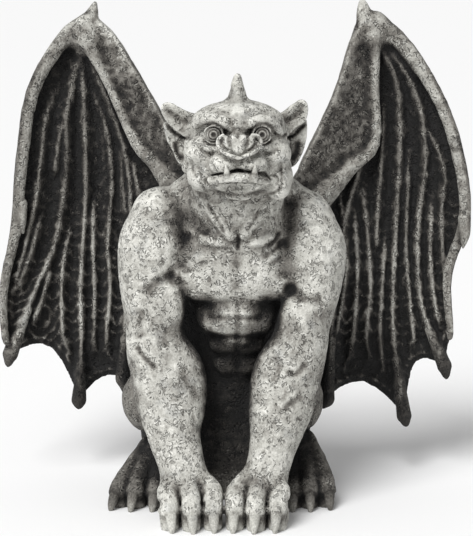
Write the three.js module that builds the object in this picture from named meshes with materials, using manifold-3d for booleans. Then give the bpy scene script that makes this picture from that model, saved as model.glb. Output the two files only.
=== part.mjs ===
// A crouching winged gargoyle: a garden and parapet ornament, cast in one piece in pale stone.
// It squats on its rump and hind feet and props itself on straight arms, with bat wings raised behind.
// Millimetres, +Z up. It faces -Y, +X is its left-hand side as a viewer in front sees the right of it,
// and the origin lies on the ground under the middle of its bounding box.
import * as THREE from "three";
import { mergeVertices } from "three/addons/utils/BufferGeometryUtils.js";
import Module from "manifold-3d";

// ---------------------------------------------------------------- driving dimensions
const HEIGHT = 420; // ground to the tip of the taller wing claw
const DRAWN_HEIGHT = 423; // the height that every other measure below is given for
const SCALE = HEIGHT / DRAWN_HEIGHT;
const LEFT = -1; // the viewer's left, at -X
const RIGHT = 1;
const LOWER_SHIFT = -9; // hips, knees and feet sit this far to the viewer's left of the head
const MEMBRANE = 9; // thickness of a wing's web
const SIDES = 8; // corners of a limb's section
const BLUNT = 0.6; // how far a limb's end stands out, as a share of its radius
const BURIED = 12; // how far below the ground the rump is modelled before it is cut flat
const EAR = {
  root: { inner: 30, top: 333, bottom: 292 },
  tip: [59, 342],
  hind: [63, 306],
  lobe: [44, 286],
  y: -40,
  thickness: 8,
};

const wasm = await Module();
wasm.setup();

// ---------------------------------------------------------------- modelling in solids
const at = (x, y, z) => new THREE.Vector3(x, y, z).multiplyScalar(SCALE);

/** A closed three.js geometry as a solid that can be joined and cut. */
function solidOf(geometry) {
  const bare = geometry.clone();
  bare.deleteAttribute("normal");
  bare.deleteAttribute("uv");
  const merged = mergeVertices(bare, 1e-3);
  return new wasm.Manifold(
    new wasm.Mesh({
      numProp: 3,
      vertProperties: new Float32Array(merged.attributes.position.array),
      triVerts: new Uint32Array(merged.index.array),
    }),
  );
}

/** A solid as a three.js geometry. */
function geometryOf(solid) {
  const mesh = solid.getMesh();
  const geometry = new THREE.BufferGeometry();
  geometry.setAttribute("position", new THREE.BufferAttribute(mesh.vertProperties, mesh.numProp));
  geometry.setIndex(new THREE.BufferAttribute(mesh.triVerts, 1));
  return geometry;
}

/** Skins a list of rings, each with the same number of points, and closes both ends with a pole. */
function skin(rings, firstPole, lastPole) {
  const count = rings[0].length;
  const points = [...rings.flat(), firstPole, lastPole];
  const first = points.length - 2;
  const last = points.length - 1;
  const faces = [];
  for (let r = 0; r < rings.length - 1; r++) {
    for (let k = 0; k < count; k++) {
      const a = r * count + k;
      const b = r * count + ((k + 1) % count);
      faces.push(a, b, b + count, a, b + count, a + count);
    }
  }
  const top = (rings.length - 1) * count;
  for (let k = 0; k < count; k++) {
    const next = (k + 1) % count;
    faces.push(first, next, k, last, top + k, top + next);
  }
  const geometry = new THREE.BufferGeometry().setFromPoints(points);
  geometry.setIndex(faces);
  return geometry;
}

/**
 * A limb or a muscle: oval sections along a smooth line, with a blunt point at both ends.
 * Each station is [x, y, z, half width, half depth]; the width lies along `across`.
 */
function limb(stations, { steps = 1, sides = SIDES, across = [1, 0, 0] } = {}) {
  const line = new THREE.CatmullRomCurve3(stations.map(([x, y, z]) => at(x, y, z)));
  const girth = new THREE.CatmullRomCurve3(
    stations.map(([, , , width, depth = width]) => at(width, depth, 0)),
  );
  const stationAt = (t) => {
    const { x: width, y: depth } = girth.getPoint(t);
    return { centre: line.getPoint(t), tangent: line.getTangent(t), width, depth };
  };
  const ringAt = (t) => {
    const { centre, tangent, width, depth } = stationAt(t);
    const side = new THREE.Vector3(...across);
    side.addScaledVector(tangent, -side.dot(tangent)).normalize();
    const out = new THREE.Vector3().crossVectors(tangent, side);
    return Array.from({ length: sides }, (_, k) => {
      const angle = (2 * Math.PI * k) / sides;
      return centre
        .clone()
        .addScaledVector(side, width * Math.cos(angle))
        .addScaledVector(out, depth * Math.sin(angle));
    });
  };
  const poleAt = (t, share) => {
    const { centre, tangent, width, depth } = stationAt(t);
    return centre.addScaledVector(tangent, share * Math.min(width, depth));
  };
  const spans = (stations.length - 1) * steps;
  const rings = Array.from({ length: spans + 1 }, (_, i) => ringAt(i / spans));
  return solidOf(skin(rings, poleAt(0, -BLUNT), poleAt(1, BLUNT)));
}

/** A rounded mass such as a muscle or the skull: an ellipsoid, turned about X, Y and Z by degrees. */
function mass(centre, radii, turn = [0, 0, 0], detail = 9) {
  const ball = new THREE.SphereGeometry(1, detail, Math.round(detail * 0.65));
  const angles = turn.map(THREE.MathUtils.degToRad);
  const place = new THREE.Matrix4().compose(
    at(...centre),
    new THREE.Quaternion().setFromEuler(new THREE.Euler(...angles)),
    at(...radii),
  );
  return solidOf(ball.applyMatrix4(place));
}

/** A claw, horn or fang: a tapering, bent cone from its root to its tip. */
function claw(root, tip, radius, bend = [0, 0, 0], sides = 6) {
  const middle = root.map((value, i) => (value + tip[i]) / 2 + bend[i]);
  const across = Math.abs(root[0] - tip[0]) > Math.abs(root[2] - tip[2]) ? [0, 1, 0] : [1, 0, 0];
  return limb(
    [
      [...root, radius],
      [...middle, radius * 0.72],
      [...tip, radius * 0.16],
    ],
    { sides, across },
  );
}

const joined = (solids) => solids.reduce((all, one) => all.add(one));

// ---------------------------------------------------------------- torso and head
function torso() {
  const trunk = limb(
    [
      [LOWER_SHIFT, 38, -BURIED, 50, 58],
      [LOWER_SHIFT, 38, 30, 54, 58],
      [-7, 38, 72, 46, 51],
      [-3, 30, 112, 35, 45],
      [-1, 14, 145, 30, 44],
      [0, -2, 176, 36, 48],
      [0, -6, 208, 53, 48],
      [0, -10, 236, 56, 42],
      [0, -12, 258, 40, 34],
    ],
    { sides: 12 },
  );
  const back = limb(
    [
      [-5, 46, 84, 40, 34],
      [-2, 38, 125, 46, 32],
      [0, 28, 170, 60, 32],
      [0, 20, 212, 66, 36],
      [0, 6, 244, 48, 30],
    ],
  );
  const neck = limb(
    [
      [0, -16, 232, 42, 36],
      [1, -32, 262, 40, 36],
      [1, -42, 290, 37, 34],
    ],
  );
  const parts = [trunk, back, neck];
  for (const side of [LEFT, RIGHT]) {
    const breast = mass([side * 22, -40, 203], [38, 13, 31], [-4, 0, side * 6], 11);
    const slope = limb(
      [
        [side * 20, -18, 284, 12, 14],
        [side * 40, -14, 260, 18, 20],
        [side * 60, -16, 238, 20, 22],
      ],
      { across: [0, 0, 1], sides: 8 },
    );
    parts.push(breast, slope);
  }
  return joined(parts);
}

/** A pointed bat's ear: a leaf-shaped plate whose hind edge is swept back. */
function ear(side) {
  const leaf = new THREE.Shape();
  leaf.moveTo(EAR.root.inner * SCALE, EAR.root.top * SCALE);
  leaf.lineTo(EAR.tip[0] * SCALE, EAR.tip[1] * SCALE);
  leaf.quadraticCurveTo(EAR.hind[0] * SCALE, EAR.hind[1] * SCALE, EAR.lobe[0] * SCALE, EAR.lobe[1] * SCALE);
  leaf.lineTo(EAR.root.inner * SCALE, EAR.root.bottom * SCALE);
  const plate = new THREE.ExtrudeGeometry(leaf, {
    depth: EAR.thickness * SCALE,
    bevelSize: 1.5 * SCALE,
    bevelThickness: 1.5 * SCALE,
    bevelOffset: -1.5 * SCALE,
    bevelSegments: 1,
    curveSegments: 4,
  });
  plate.rotateX(Math.PI / 2);
  plate.translate(0, EAR.y * SCALE, 0);
  return solidOf(side === RIGHT ? plate : mirrored(plate));
}

/** The same closed geometry on the other side of the plane X = 0. */
function mirrored(geometry) {
  const bare = geometry.clone();
  bare.deleteAttribute("normal");
  bare.deleteAttribute("uv");
  const twin = mergeVertices(bare, 1e-3);
  twin.scale(-1, 1, 1);
  twin.setIndex(Array.from(twin.index.array).reverse());
  return twin;
}

function head() {
  const skull = mass([2, -50, 313], [41, 38, 31], [0, 0, 0], 11);
  const browShelf = mass([1, -60, 330], [38, 27, 14]);
  const jaws = mass([2, -60, 291], [42, 34, 24]);
  const muzzle = mass([1, -90, 293], [23, 15, 13], [0, 0, 0], 8);
  const lowerLip = mass([1, -84, 278], [26, 18, 8], [0, 0, 0], 8);
  const horn = claw([0, -56, 336], [0, -55, 367], 10);
  const nose = mass([0, -101, 309], [8, 8, 9], [-20, 0, 0], 8);
  const parts = [skull, browShelf, jaws, muzzle, lowerLip, horn, nose];
  for (const side of [LEFT, RIGHT]) {
    const brow = mass([side * 20, -84, 329], [16, 9, 6], [0, side * -14, 0], 8);
    const eye = mass([side * 19.5, -86, 320], [6, 6, 6], [0, 0, 0], 7);
    const cheek = mass([1 + side * 30, -72, 301], [12, 15, 14], [0, 0, 0], 8);
    const nostril = limb(
      [
        [side * 4, -103, 300, 3],
        [side * 12, -101, 304, 3.4],
        [side * 17, -97, 312, 3],
      ],
      { sides: 6, across: [0, 1, 0] },
    );
    const tusk = claw([1 + side * 13, -101, 282], [1 + side * 12, -103, 296], 3.6, [0, -1, 0]);
    parts.push(brow, eye, cheek, nostril, tusk, ear(side));
  }
  return joined(parts);
}

// ---------------------------------------------------------------- arms, legs, hands and feet
/** A digit: a fleshy pad and a claw that meets the ground, from the knuckle to the claw's tip. */
function digit(knuckle, tip, girth) {
  const along = (share, z) => [
    knuckle[0] + (tip[0] - knuckle[0]) * share,
    knuckle[1] + (tip[1] - knuckle[1]) * share,
    z,
  ];
  const pad = limb(
    [
      [...along(-0.1, knuckle[2] * 0.9), girth * 0.8],
      [...along(0.25, knuckle[2] * 0.95), girth],
      [...along(0.55, knuckle[2] * 0.6), girth],
      [...along(0.72, 3), girth * 0.9],
    ],
    { sides: 6 },
  );
  const nail = limb(
    [
      [...along(0.6, knuckle[2] * 0.8), girth * 0.55],
      [...along(1, knuckle[2] * 0.42), girth * 0.5],
      [...tip, girth * 0.22],
    ],
    { sides: 5 },
  );
  return pad.add(nail);
}

// From the shoulder to the heel of the hand: [x, y, z, half width, half depth].
const ARMS = {
  [LEFT]: {
    line: [
      [-64, -13, 244, 25, 28],
      [-70, -19, 218, 29, 33],
      [-71, -26, 190, 27, 31],
      [-69, -31, 162, 24, 28],
      [-66, -38, 136, 26, 27],
      [-57, -44, 114, 31, 27],
      [-54, -52, 94, 29, 25],
      [-52, -66, 70, 22, 21],
      [-45, -80, 46, 19, 18],
      [-41, -88, 24, 24, 16],
      [-38, -91, 2, 28, 14],
    ],
    knuckles: [[-56, -96, 26], [-38, -99, 27], [-20, -96, 26]],
    tips: [[-52, -118, -1], [-35, -120, -1], [-18, -118, -1]],
  },
  [RIGHT]: {
    line: [
      [57, -13, 242, 24, 28],
      [63, -19, 216, 28, 33],
      [63, -26, 188, 25, 31],
      [58, -31, 164, 22, 28],
      [52, -38, 138, 24, 27],
      [42, -44, 114, 29, 27],
      [37, -52, 90, 27, 25],
      [32, -66, 68, 21, 21],
      [26, -80, 46, 18, 18],
      [21, -88, 24, 23, 16],
      [19, -91, 2, 26, 14],
    ],
    knuckles: [[0, -96, 25], [17, -99, 26], [36, -96, 27]],
    tips: [[-3, -118, -1], [14, -120, -1], [31, -118, -1]],
  },
};

function arm(side) {
  const { line, knuckles, tips } = ARMS[side];
  const digits = knuckles.map((knuckle, i) => digit(knuckle, tips[i], 9));
  return joined([limb(line), ...digits]);
}

const LEGS = {
  [LEFT]: {
    hip: [-48, 52, 40],
    knee: [-76, 14, 76],
    ankle: [-58, 8, 34],
    arch: [-76, -14, 20],
    knuckles: [[-94, -28, 18], [-82, -30, 20], [-66, -30, 18]],
    tips: [[-106, -54, -1], [-89, -58, -1], [-71, -58, -1]],
  },
  [RIGHT]: {
    hip: [28, 52, 40],
    knee: [50, 14, 78],
    ankle: [48, 2, 48],
    arch: [60, -14, 30],
    knuckles: [[73, -28, 22], [61, -30, 20], [48, -30, 18]],
    tips: [[79, -53, -1], [62, -58, -1], [47, -58, -1]],
  },
};
// The mass of the folded knee and shin beside each arm.
const KNEES = {
  [LEFT]: { centre: [-60, 6, 82], radii: [39, 34, 34] },
  [RIGHT]: { centre: [41, 6, 82], radii: [34, 34, 34] },
};
const HAUNCH = [32, 44, 42];

function leg(side) {
  const { hip, knee, ankle, arch, knuckles, tips } = LEGS[side];
  const haunch = mass(hip, HAUNCH, [0, 0, side * 20], 8);
  const thigh = limb(
    [
      [...hip, 36, 32],
      [(hip[0] + knee[0]) / 2 + side * 5, (hip[1] + knee[1]) / 2, 70, 30, 26],
      [...knee, 20, 20],
    ],
    { across: [0, 0, 1] },
  );
  const foot = limb([
    [...ankle, 17, 22],
    [...arch, 20, 20],
    [knuckles[1][0], knuckles[1][1], 6, 25, 15],
  ]);
  const toes = knuckles.map((knuckle, i) => digit(knuckle, tips[i], 9));
  const folded = mass(KNEES[side].centre, KNEES[side].radii, [0, 0, 0], 8);
  return joined([haunch, thigh, folded, foot, ...toes]);
}

// ---------------------------------------------------------------- wings
// Each wing's bones and folds are curves of [x, z] as seen from the front, from the wrist to the
// trailing edge. How far back they lie follows a cupped sheet.
const WINGS = {
  [LEFT]: {
    leading: [[-137, 402], [-156, 389], [-182, 342], [-192, 275], [-196, 225], [-206, 170], [-204, 126]],
    second: [[-136, 372], [-141, 320], [-151, 262], [-162, 208], [-183, 152], [-199, 114]],
    third: [[-137, 372], [-134, 330], [-133, 257], [-138, 178], [-138, 122], [-141, 68]],
    fourth: [[-128, 372], [-112, 323], [-98, 280], [-93, 215], [-98, 150], [-101, 88]],
    flank: [[-124, 384], [-104, 344], [-78, 292], [-50, 236], [-36, 180], [-34, 122]],
    foreEdge: [[-121, 405], [-108, 394], [-96, 377], [-77, 346], [-63, 322], [-48, 292], [-34, 262]],
    arm: [[-132, 388], [-112, 350], [-88, 300], [-70, 282], [-52, 262], [-36, 244]],
    claws: { second: [-201, 104], third: [-141, 61], fourth: [-95, 70], leading: [-188, 233] },
    crown: { root: [-132, 398], tip: [-124, 419], radius: 9 },
    arches: [0, 0.08, 0.03, 0],
  },
  [RIGHT]: {
    leading: [[128, 404], [153, 382], [183, 332], [199, 278], [202, 232], [188, 184], [190, 128]],
    second: [[124, 390], [149, 347], [159, 294], [160, 232], [163, 166], [184, 102]],
    third: [[120, 390], [141, 348], [142, 290], [140, 232], [139, 150], [150, 54]],
    fourth: [[118, 388], [119, 330], [108, 275], [97, 235], [86, 160], [80, 72]],
    flank: [[116, 388], [102, 340], [76, 288], [46, 236], [30, 180], [26, 122]],
    foreEdge: [[110, 407], [99, 387], [89, 354], [77, 325], [60, 292], [50, 272], [36, 252]],
    arm: [[120, 392], [121, 345], [121, 298], [98, 276], [74, 254], [48, 236]],
    claws: { second: [186, 91], third: [152, 45], fourth: [75, 66], leading: [199, 221] },
    crown: { root: [115, 400], tip: [110, 422], radius: 10 },
    arches: [0, 0.07, 0.045, 0],
  },
};
const WING_NAMES = ["leading", "second", "third", "fourth", "flank"];
const WING_ROWS = 9;
const WEB_COLUMNS = 4;
const WING_ROOT = { x: 40, y: 30 };
const WING_CUP = 44; // how far the middle of a wing is hollowed back
const WRIST = [14, 13, 18];
const WING_REACH = 168; // from the root to the leading edge, across

/** How far back the wing's web lies at a place in the front view: cupped, and leaning back at the top. */
function wingDepth(x, z) {
  const span = THREE.MathUtils.clamp((Math.abs(x) - WING_ROOT.x) / WING_REACH, 0, 1);
  return WING_ROOT.y + WING_CUP * Math.sin(0.9 * Math.PI * span) + (z - 230) * 0.06;
}

const planar = (points) => new THREE.SplineCurve(points.map(([x, z]) => new THREE.Vector2(x, z)));

/** A web stretched between curves that all start near the wrist, as one closed slab. */
function web(curves, { arches, ridge, pleat, thickness, forward = 0 }) {
  const columns = [];
  for (let c = 0; c < curves.length - 1; c++) {
    for (let k = 0; k < WEB_COLUMNS; k++) columns.push({ c, share: k / WEB_COLUMNS });
  }
  columns.push({ c: curves.length - 2, share: 1 });
  const grid = (offset) =>
    columns.map(({ c, share }) =>
      Array.from({ length: WING_ROWS }, (_, row) => {
        const arch = 1 - arches[c] * Math.sin(Math.PI * share);
        const along = (row / (WING_ROWS - 1)) * arch;
        const place = curves[c].getPoint(along).lerp(curves[c + 1].getPoint(along), share);
        const fold = share % 1 === 0 ? -ridge : share === 0.5 ? 0 : pleat;
        const slack = Math.min(1, along * 2.5);
        return at(place.x, wingDepth(place.x, place.y) - forward + offset + fold * slack, place.y);
      }),
    );
  return solidOf(slab(grid(0), grid(thickness)));
}

/** Closes two matching grids of points into one body. */
function slab(front, rear) {
  const rows = front[0].length;
  const points = [...front.flat(), ...rear.flat()];
  const back = front.length * rows;
  const faces = [];
  const quad = (a, b, c, d) => faces.push(a, b, c, a, c, d);
  for (let c = 0; c < front.length - 1; c++) {
    for (let r = 0; r < rows - 1; r++) {
      const a = c * rows + r;
      quad(a, a + 1, a + rows + 1, a + rows);
      quad(back + a, back + a + rows, back + a + rows + 1, back + a + 1);
    }
    const top = c * rows;
    const foot = top + rows - 1;
    quad(top, top + rows, back + top + rows, back + top);
    quad(foot, back + foot, back + foot + rows, foot + rows);
  }
  const lastColumn = (front.length - 1) * rows;
  for (let r = 0; r < rows - 1; r++) {
    quad(r, back + r, back + r + 1, r + 1);
    quad(lastColumn + r, lastColumn + r + 1, back + lastColumn + r + 1, back + lastColumn + r);
  }
  const geometry = new THREE.BufferGeometry().setFromPoints(points);
  geometry.setIndex(faces);
  return geometry;
}

/** Lists that run from the leading edge inwards, put in order from -X to +X. */
const leftToRight = (side, list) => (side === LEFT ? list : [...list].reverse());

function wing(side) {
  const shape = WINGS[side];
  const sheet = web(
    leftToRight(side, WING_NAMES).map((name) => planar(shape[name])),
    { arches: leftToRight(side, shape.arches), ridge: 5, pleat: 3, thickness: MEMBRANE },
  );
  const panel = web(leftToRight(side, [planar(shape.arm), planar(shape.foreEdge)]), {
    arches: [0],
    ridge: 1,
    pleat: 1,
    thickness: MEMBRANE + 10,
    forward: 9,
  });
  const bone = (points, radii, forward) =>
    limb(
      points.map(([x, z], i) => [x, wingDepth(x, z) - forward, z, radii[i]]),
      { sides: 7 },
    );
  const spike = ([x, z], [tipX, tipZ], radius, forward) =>
    claw([x, wingDepth(x, z) - forward, z], [tipX, wingDepth(tipX, tipZ) - forward, tipZ], radius);
  const [thumbX, thumbZ] = shape.claws.leading;
  return joined([
    sheet,
    panel,
    bone(shape.leading.slice(0, 5), [8, 7, 6, 6, 5], 4),
    bone(shape.arm.slice(0, 3), [10, 8, 9], 9),
    bone([shape.arm[2], shape.arm[4], shape.arm[5]], [9, 13, 18], 7),
    mass([shape.arm[0][0], wingDepth(...shape.arm[0]) + 2, shape.arm[0][1]], WRIST, [0, 0, 0], 8),
    spike(shape.crown.root, shape.crown.tip, shape.crown.radius, 0),
    spike([thumbX, thumbZ + 12], [thumbX, thumbZ - 12], 5.5, 8),
    ...["second", "third", "fourth"].map((name) => {
      const shaft = planar(shape[name]).getPoint(0.9);
      const places = [[shaft.x, shaft.y], shape[name].at(-1), shape.claws[name]];
      return bone(places, [4, 9, 1.5], 2);
    }),
  ]);
}

// ---------------------------------------------------------------- the statue
function statue() {
  const limbs = [LEFT, RIGHT].flatMap((side) => [arm(side), leg(side), wing(side)]);
  const body = joined([torso(), head(), ...limbs]);
  const slice = new THREE.BoxGeometry(600, 600, 100).translate(0, 0, -50);
  return body.subtract(solidOf(slice));
}

const stone = new THREE.MeshStandardMaterial({ color: 0xb4b2a8, roughness: 0.88, metalness: 0 });
const geometry = geometryOf(statue());
geometry.computeBoundingBox();
const middle = geometry.boundingBox.getCenter(new THREE.Vector3());
geometry.translate(-middle.x, -middle.y, 0);
const gargoyle = new THREE.Mesh(geometry, stone);
gargoyle.name = "gargoyle";

const part = new THREE.Group();
part.add(gargoyle);
export default part;
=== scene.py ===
"""A crouching winged gargoyle in cast stone: its carved skin, its finish, and the light it stands in.

The body is modelled like a sculptor's clay: rounded masses are joined and pressed into one another on a
graded grid of distances, the skin is taken off that grid as one closed mesh, and the fine relief and the
washes of colour are laid on its surface, together with painted shade where the stone is enclosed and painted
highlight on its crests. Forms are given in drawing millimetres, the same ones that the solid part was drawn
in, and Drawing turns them into the row's metres.
"""
import logging
import math
from dataclasses import dataclass
from enum import IntEnum
from typing import Callable, Iterable, Protocol, Sequence

import bpy
import numpy as np
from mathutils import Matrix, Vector


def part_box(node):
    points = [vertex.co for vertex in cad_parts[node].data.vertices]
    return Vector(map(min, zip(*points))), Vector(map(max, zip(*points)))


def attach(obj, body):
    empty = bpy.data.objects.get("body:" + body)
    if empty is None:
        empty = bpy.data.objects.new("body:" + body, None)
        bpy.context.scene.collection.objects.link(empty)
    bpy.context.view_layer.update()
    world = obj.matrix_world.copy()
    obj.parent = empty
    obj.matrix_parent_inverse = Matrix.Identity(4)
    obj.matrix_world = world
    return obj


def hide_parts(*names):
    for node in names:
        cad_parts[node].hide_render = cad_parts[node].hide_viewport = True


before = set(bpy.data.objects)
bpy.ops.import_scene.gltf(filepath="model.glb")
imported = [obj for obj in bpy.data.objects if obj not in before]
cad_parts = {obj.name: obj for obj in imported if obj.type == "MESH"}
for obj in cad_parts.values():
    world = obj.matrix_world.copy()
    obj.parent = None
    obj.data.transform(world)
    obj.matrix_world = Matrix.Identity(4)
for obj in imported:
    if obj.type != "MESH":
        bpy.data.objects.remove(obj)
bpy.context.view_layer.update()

logging.basicConfig(level=logging.INFO, format="%(message)s")
log = logging.getLogger("gargoyle")

Vec = Sequence[float]
Array = np.ndarray


class Side(IntEnum):
    """The body's two sides, as the sign of X: the left one is on the viewer's left."""

    LEFT = -1
    RIGHT = 1


LEFT, RIGHT = Side
ACROSS, SIGHT, UP = range(3)  # the axes as seen from in front
EYES = {LEFT: (-18.3, -86.5, 320), RIGHT: (20.4, -86.5, 320)}
FAR = 40.0  # the distance that empty clay starts with, in mm
REACH = 7.0  # how far outside a shape its distance is still worked out, in mm
STROKE_SPREAD = 2.2  # how far a stroke reaches on the clay, in widths
STROKE_END = 3.0  # mm over which a stroke dies away at its near and far ends
WASH_AND_SHADE_SPREAD = 3.0  # how far its crease wash and painted shade reach, in widths
LOBE = 9.0  # mm over which a leaf's middle is hollowed from its edge


# ------------------------------------------------------------------ measures
@dataclass(frozen=True)
class Drawing:
    """The sculptor's drawing and how it maps to the row frame."""

    height: float = 423.0  # ground to the taller wing's tip, as drawn, in mm
    middle: tuple[float, float] = (-0.3, -12.7)  # the middle of its footprint, as drawn

    @property
    def scale(self) -> float:
        """Metres of the row frame to one drawing millimetre."""
        low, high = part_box("gargoyle")
        return (high.z - low.z) / self.height

    def to_row(self, points: Array) -> Array:
        """Drawing points as row-frame points.

        Args:
            points: an N by 3 array in drawing millimetres.

        Returns:
            The same points in metres, on the ground and centred as the row frame is.
        """
        shift = np.array([self.middle[0], self.middle[1], 0.0])
        return (points - shift) * self.scale


DRAWING = Drawing()


def smoothstep(low: float, high: float, value: Array) -> Array:
    """A soft step from 0 at low to 1 at high."""
    t = np.clip((value - low) / (high - low), 0.0, 1.0)
    return t * t * (3.0 - 2.0 * t)


def bell(distance: Array, width: float | Array) -> Array:
    """A smooth hump: 1 where the distance is nought, dying away beyond the width."""
    return np.exp(-((distance / width) ** 2))


def smooth_min(a: Array, b: Array, blend: float) -> Array:
    """The lower of two distances, with the corner between them filled over `blend` mm."""
    if blend <= 0:
        return np.minimum(a, b)
    h = np.clip(0.5 + 0.5 * (b - a) / blend, 0.0, 1.0)
    return b + (a - b) * h - blend * h * (1.0 - h)


def catmull(points: Array, steps: int) -> Array:
    """A smooth line through control rows, resampled.

    Args:
        points: an N by K array; every column is interpolated alike.
        steps: how many pieces each span is cut into.

    Returns:
        The resampled rows, both ends included.
    """
    rows = np.vstack([2 * points[0] - points[1], points, 2 * points[-1] - points[-2]])
    out = []
    for i in range(len(points) - 1):
        p0, p1, p2, p3 = rows[i : i + 4]
        for k in range(steps):
            t = k / steps
            out.append(
                0.5 * (2 * p1 + (p2 - p0) * t + (2 * p0 - 5 * p1 + 4 * p2 - p3) * t * t
                       + (3 * p1 - p0 - 3 * p2 + p3) * t**3)
            )
    out.append(points[-1])
    return np.array(out)


def lattice_noise(points: Array, cell: float, seed: int) -> Array:
    """Smooth value noise from -1 to 1.

    Args:
        points: an array whose last axis holds 2 or 3 coordinates in mm.
        cell: the size of one blotch, in mm.
        seed: which pattern.

    Returns:
        One value for each point.
    """
    p = points / cell
    base = np.floor(p).astype(np.int64)
    t = p - base
    t = t * t * (3 - 2 * t)
    dims = points.shape[-1]
    primes = (73856093, 19349663, 83492791)
    total = np.zeros(points.shape[:-1])
    for corner in range(2**dims):
        weight = np.ones(points.shape[:-1])
        key = np.full(points.shape[:-1], seed * 2654435761 % (1 << 31), np.int64)
        for axis in range(dims):
            bit = (corner >> axis) & 1
            weight = weight * (t[..., axis] if bit else 1 - t[..., axis])
            key = key ^ ((base[..., axis] + bit) * primes[axis])
        key = (key ^ (key >> 13)) * 1274126177 & 0x7FFFFFFF
        key = (key ^ (key >> 16)) * 668265263 & 0x7FFFFFFF
        total += weight * ((key % 65536) / 32767.5 - 1.0)
    return total


def line_distance(u: Array, v: Array, points: Array) -> tuple[Array, Array]:
    """Distance to an open line drawn on a plane.

    Args:
        u: first plane coordinate, in mm.
        v: second plane coordinate, in mm; broadcasts with u.
        points: the line's corners, N by 2.

    Returns:
        The distance, and how far along the line the nearest place is, from 0 to 1.
    """
    lengths = np.hypot(*np.diff(points, axis=0).T)
    total = max(float(lengths.sum()), 1e-6)
    shape = np.broadcast(u, v).shape
    best = np.full(shape, 1e9)
    along = np.zeros(shape)
    run = 0.0
    for (a, b), length in zip(zip(points[:-1], points[1:]), lengths):
        step = b - a
        t = np.clip(((u - a[0]) * step[0] + (v - a[1]) * step[1]) / max(length**2, 1e-9), 0, 1)
        d = np.hypot(u - a[0] - t * step[0], v - a[1] - t * step[1])
        near = d < best
        best = np.where(near, d, best)
        along = np.where(near, (run + t * length) / total, along)
        run += length
    return best, along


def polygon_distance(u: Array, v: Array, points: Array) -> Array:
    """Signed distance to a closed outline on a plane, negative inside."""
    ring = np.vstack([points, points[:1]])
    distance, _ = line_distance(u, v, ring)
    inside = np.zeros(distance.shape, bool)
    for a, b in zip(ring[:-1], ring[1:]):
        if a[1] == b[1]:
            continue
        crosses = (v >= min(a[1], b[1])) & (v < max(a[1], b[1]))
        inside ^= crosses & (u < a[0] + (v - a[1]) * (b[0] - a[0]) / (b[1] - a[1]))
    return np.where(inside, -distance, distance)


# ------------------------------------------------------------------ shapes
@dataclass(frozen=True)
class Part:
    """A piece of a shape: the box it fills and its distance."""

    low: Array
    high: Array
    distance: Callable[[Array, Array, Array], Array]


class Shape(Protocol):
    """Anything that can be pressed into the clay or carved out of it."""

    def parts(self) -> Iterable[Part]:
        """The pieces that it is the union of."""


def euler(turn: Vec) -> Array:
    """A rotation matrix from turns about X, then Y, then Z, in degrees."""
    x, y, z = (math.radians(angle) for angle in turn)
    about_x = np.array([[1, 0, 0], [0, math.cos(x), -math.sin(x)], [0, math.sin(x), math.cos(x)]])
    about_y = np.array([[math.cos(y), 0, math.sin(y)], [0, 1, 0], [-math.sin(y), 0, math.cos(y)]])
    about_z = np.array([[math.cos(z), -math.sin(z), 0], [math.sin(z), math.cos(z), 0], [0, 0, 1]])
    return about_x @ about_y @ about_z


@dataclass(frozen=True)
class Lump:
    """A rounded mass: an ellipsoid.

    Attributes:
        centre: its middle, in drawing mm.
        radii: half its size along X, Y and Z.
        turn: how it is turned about X, Y and Z, in degrees.
    """

    centre: Vec
    radii: Vec
    turn: Vec = (0.0, 0.0, 0.0)

    def parts(self) -> Iterable[Part]:
        """The single part of an ellipsoid."""
        matrix = euler(self.turn)
        centre = np.array(self.centre, float)
        radii = np.array(self.radii, float)
        half = np.sqrt(((matrix * radii) ** 2).sum(axis=1))
        plain = not any(self.turn)

        def distance(x: Array, y: Array, z: Array) -> Array:
            """How far points lie outside this part, in mm; negative inside."""
            offset = (x - centre[0], y - centre[1], z - centre[2])
            first = second = 0.0
            for axis in range(3):
                if plain:
                    local = offset[axis]
                else:
                    local = sum(offset[i] * matrix[i, axis] for i in range(3))
                square = local * local
                first = first + square / radii[axis] ** 2
                second = second + square / radii[axis] ** 4
            first = np.sqrt(first)
            return first * (first - 1.0) / np.sqrt(second + 1e-9)

        yield Part(centre - half, centre + half, distance)


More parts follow.
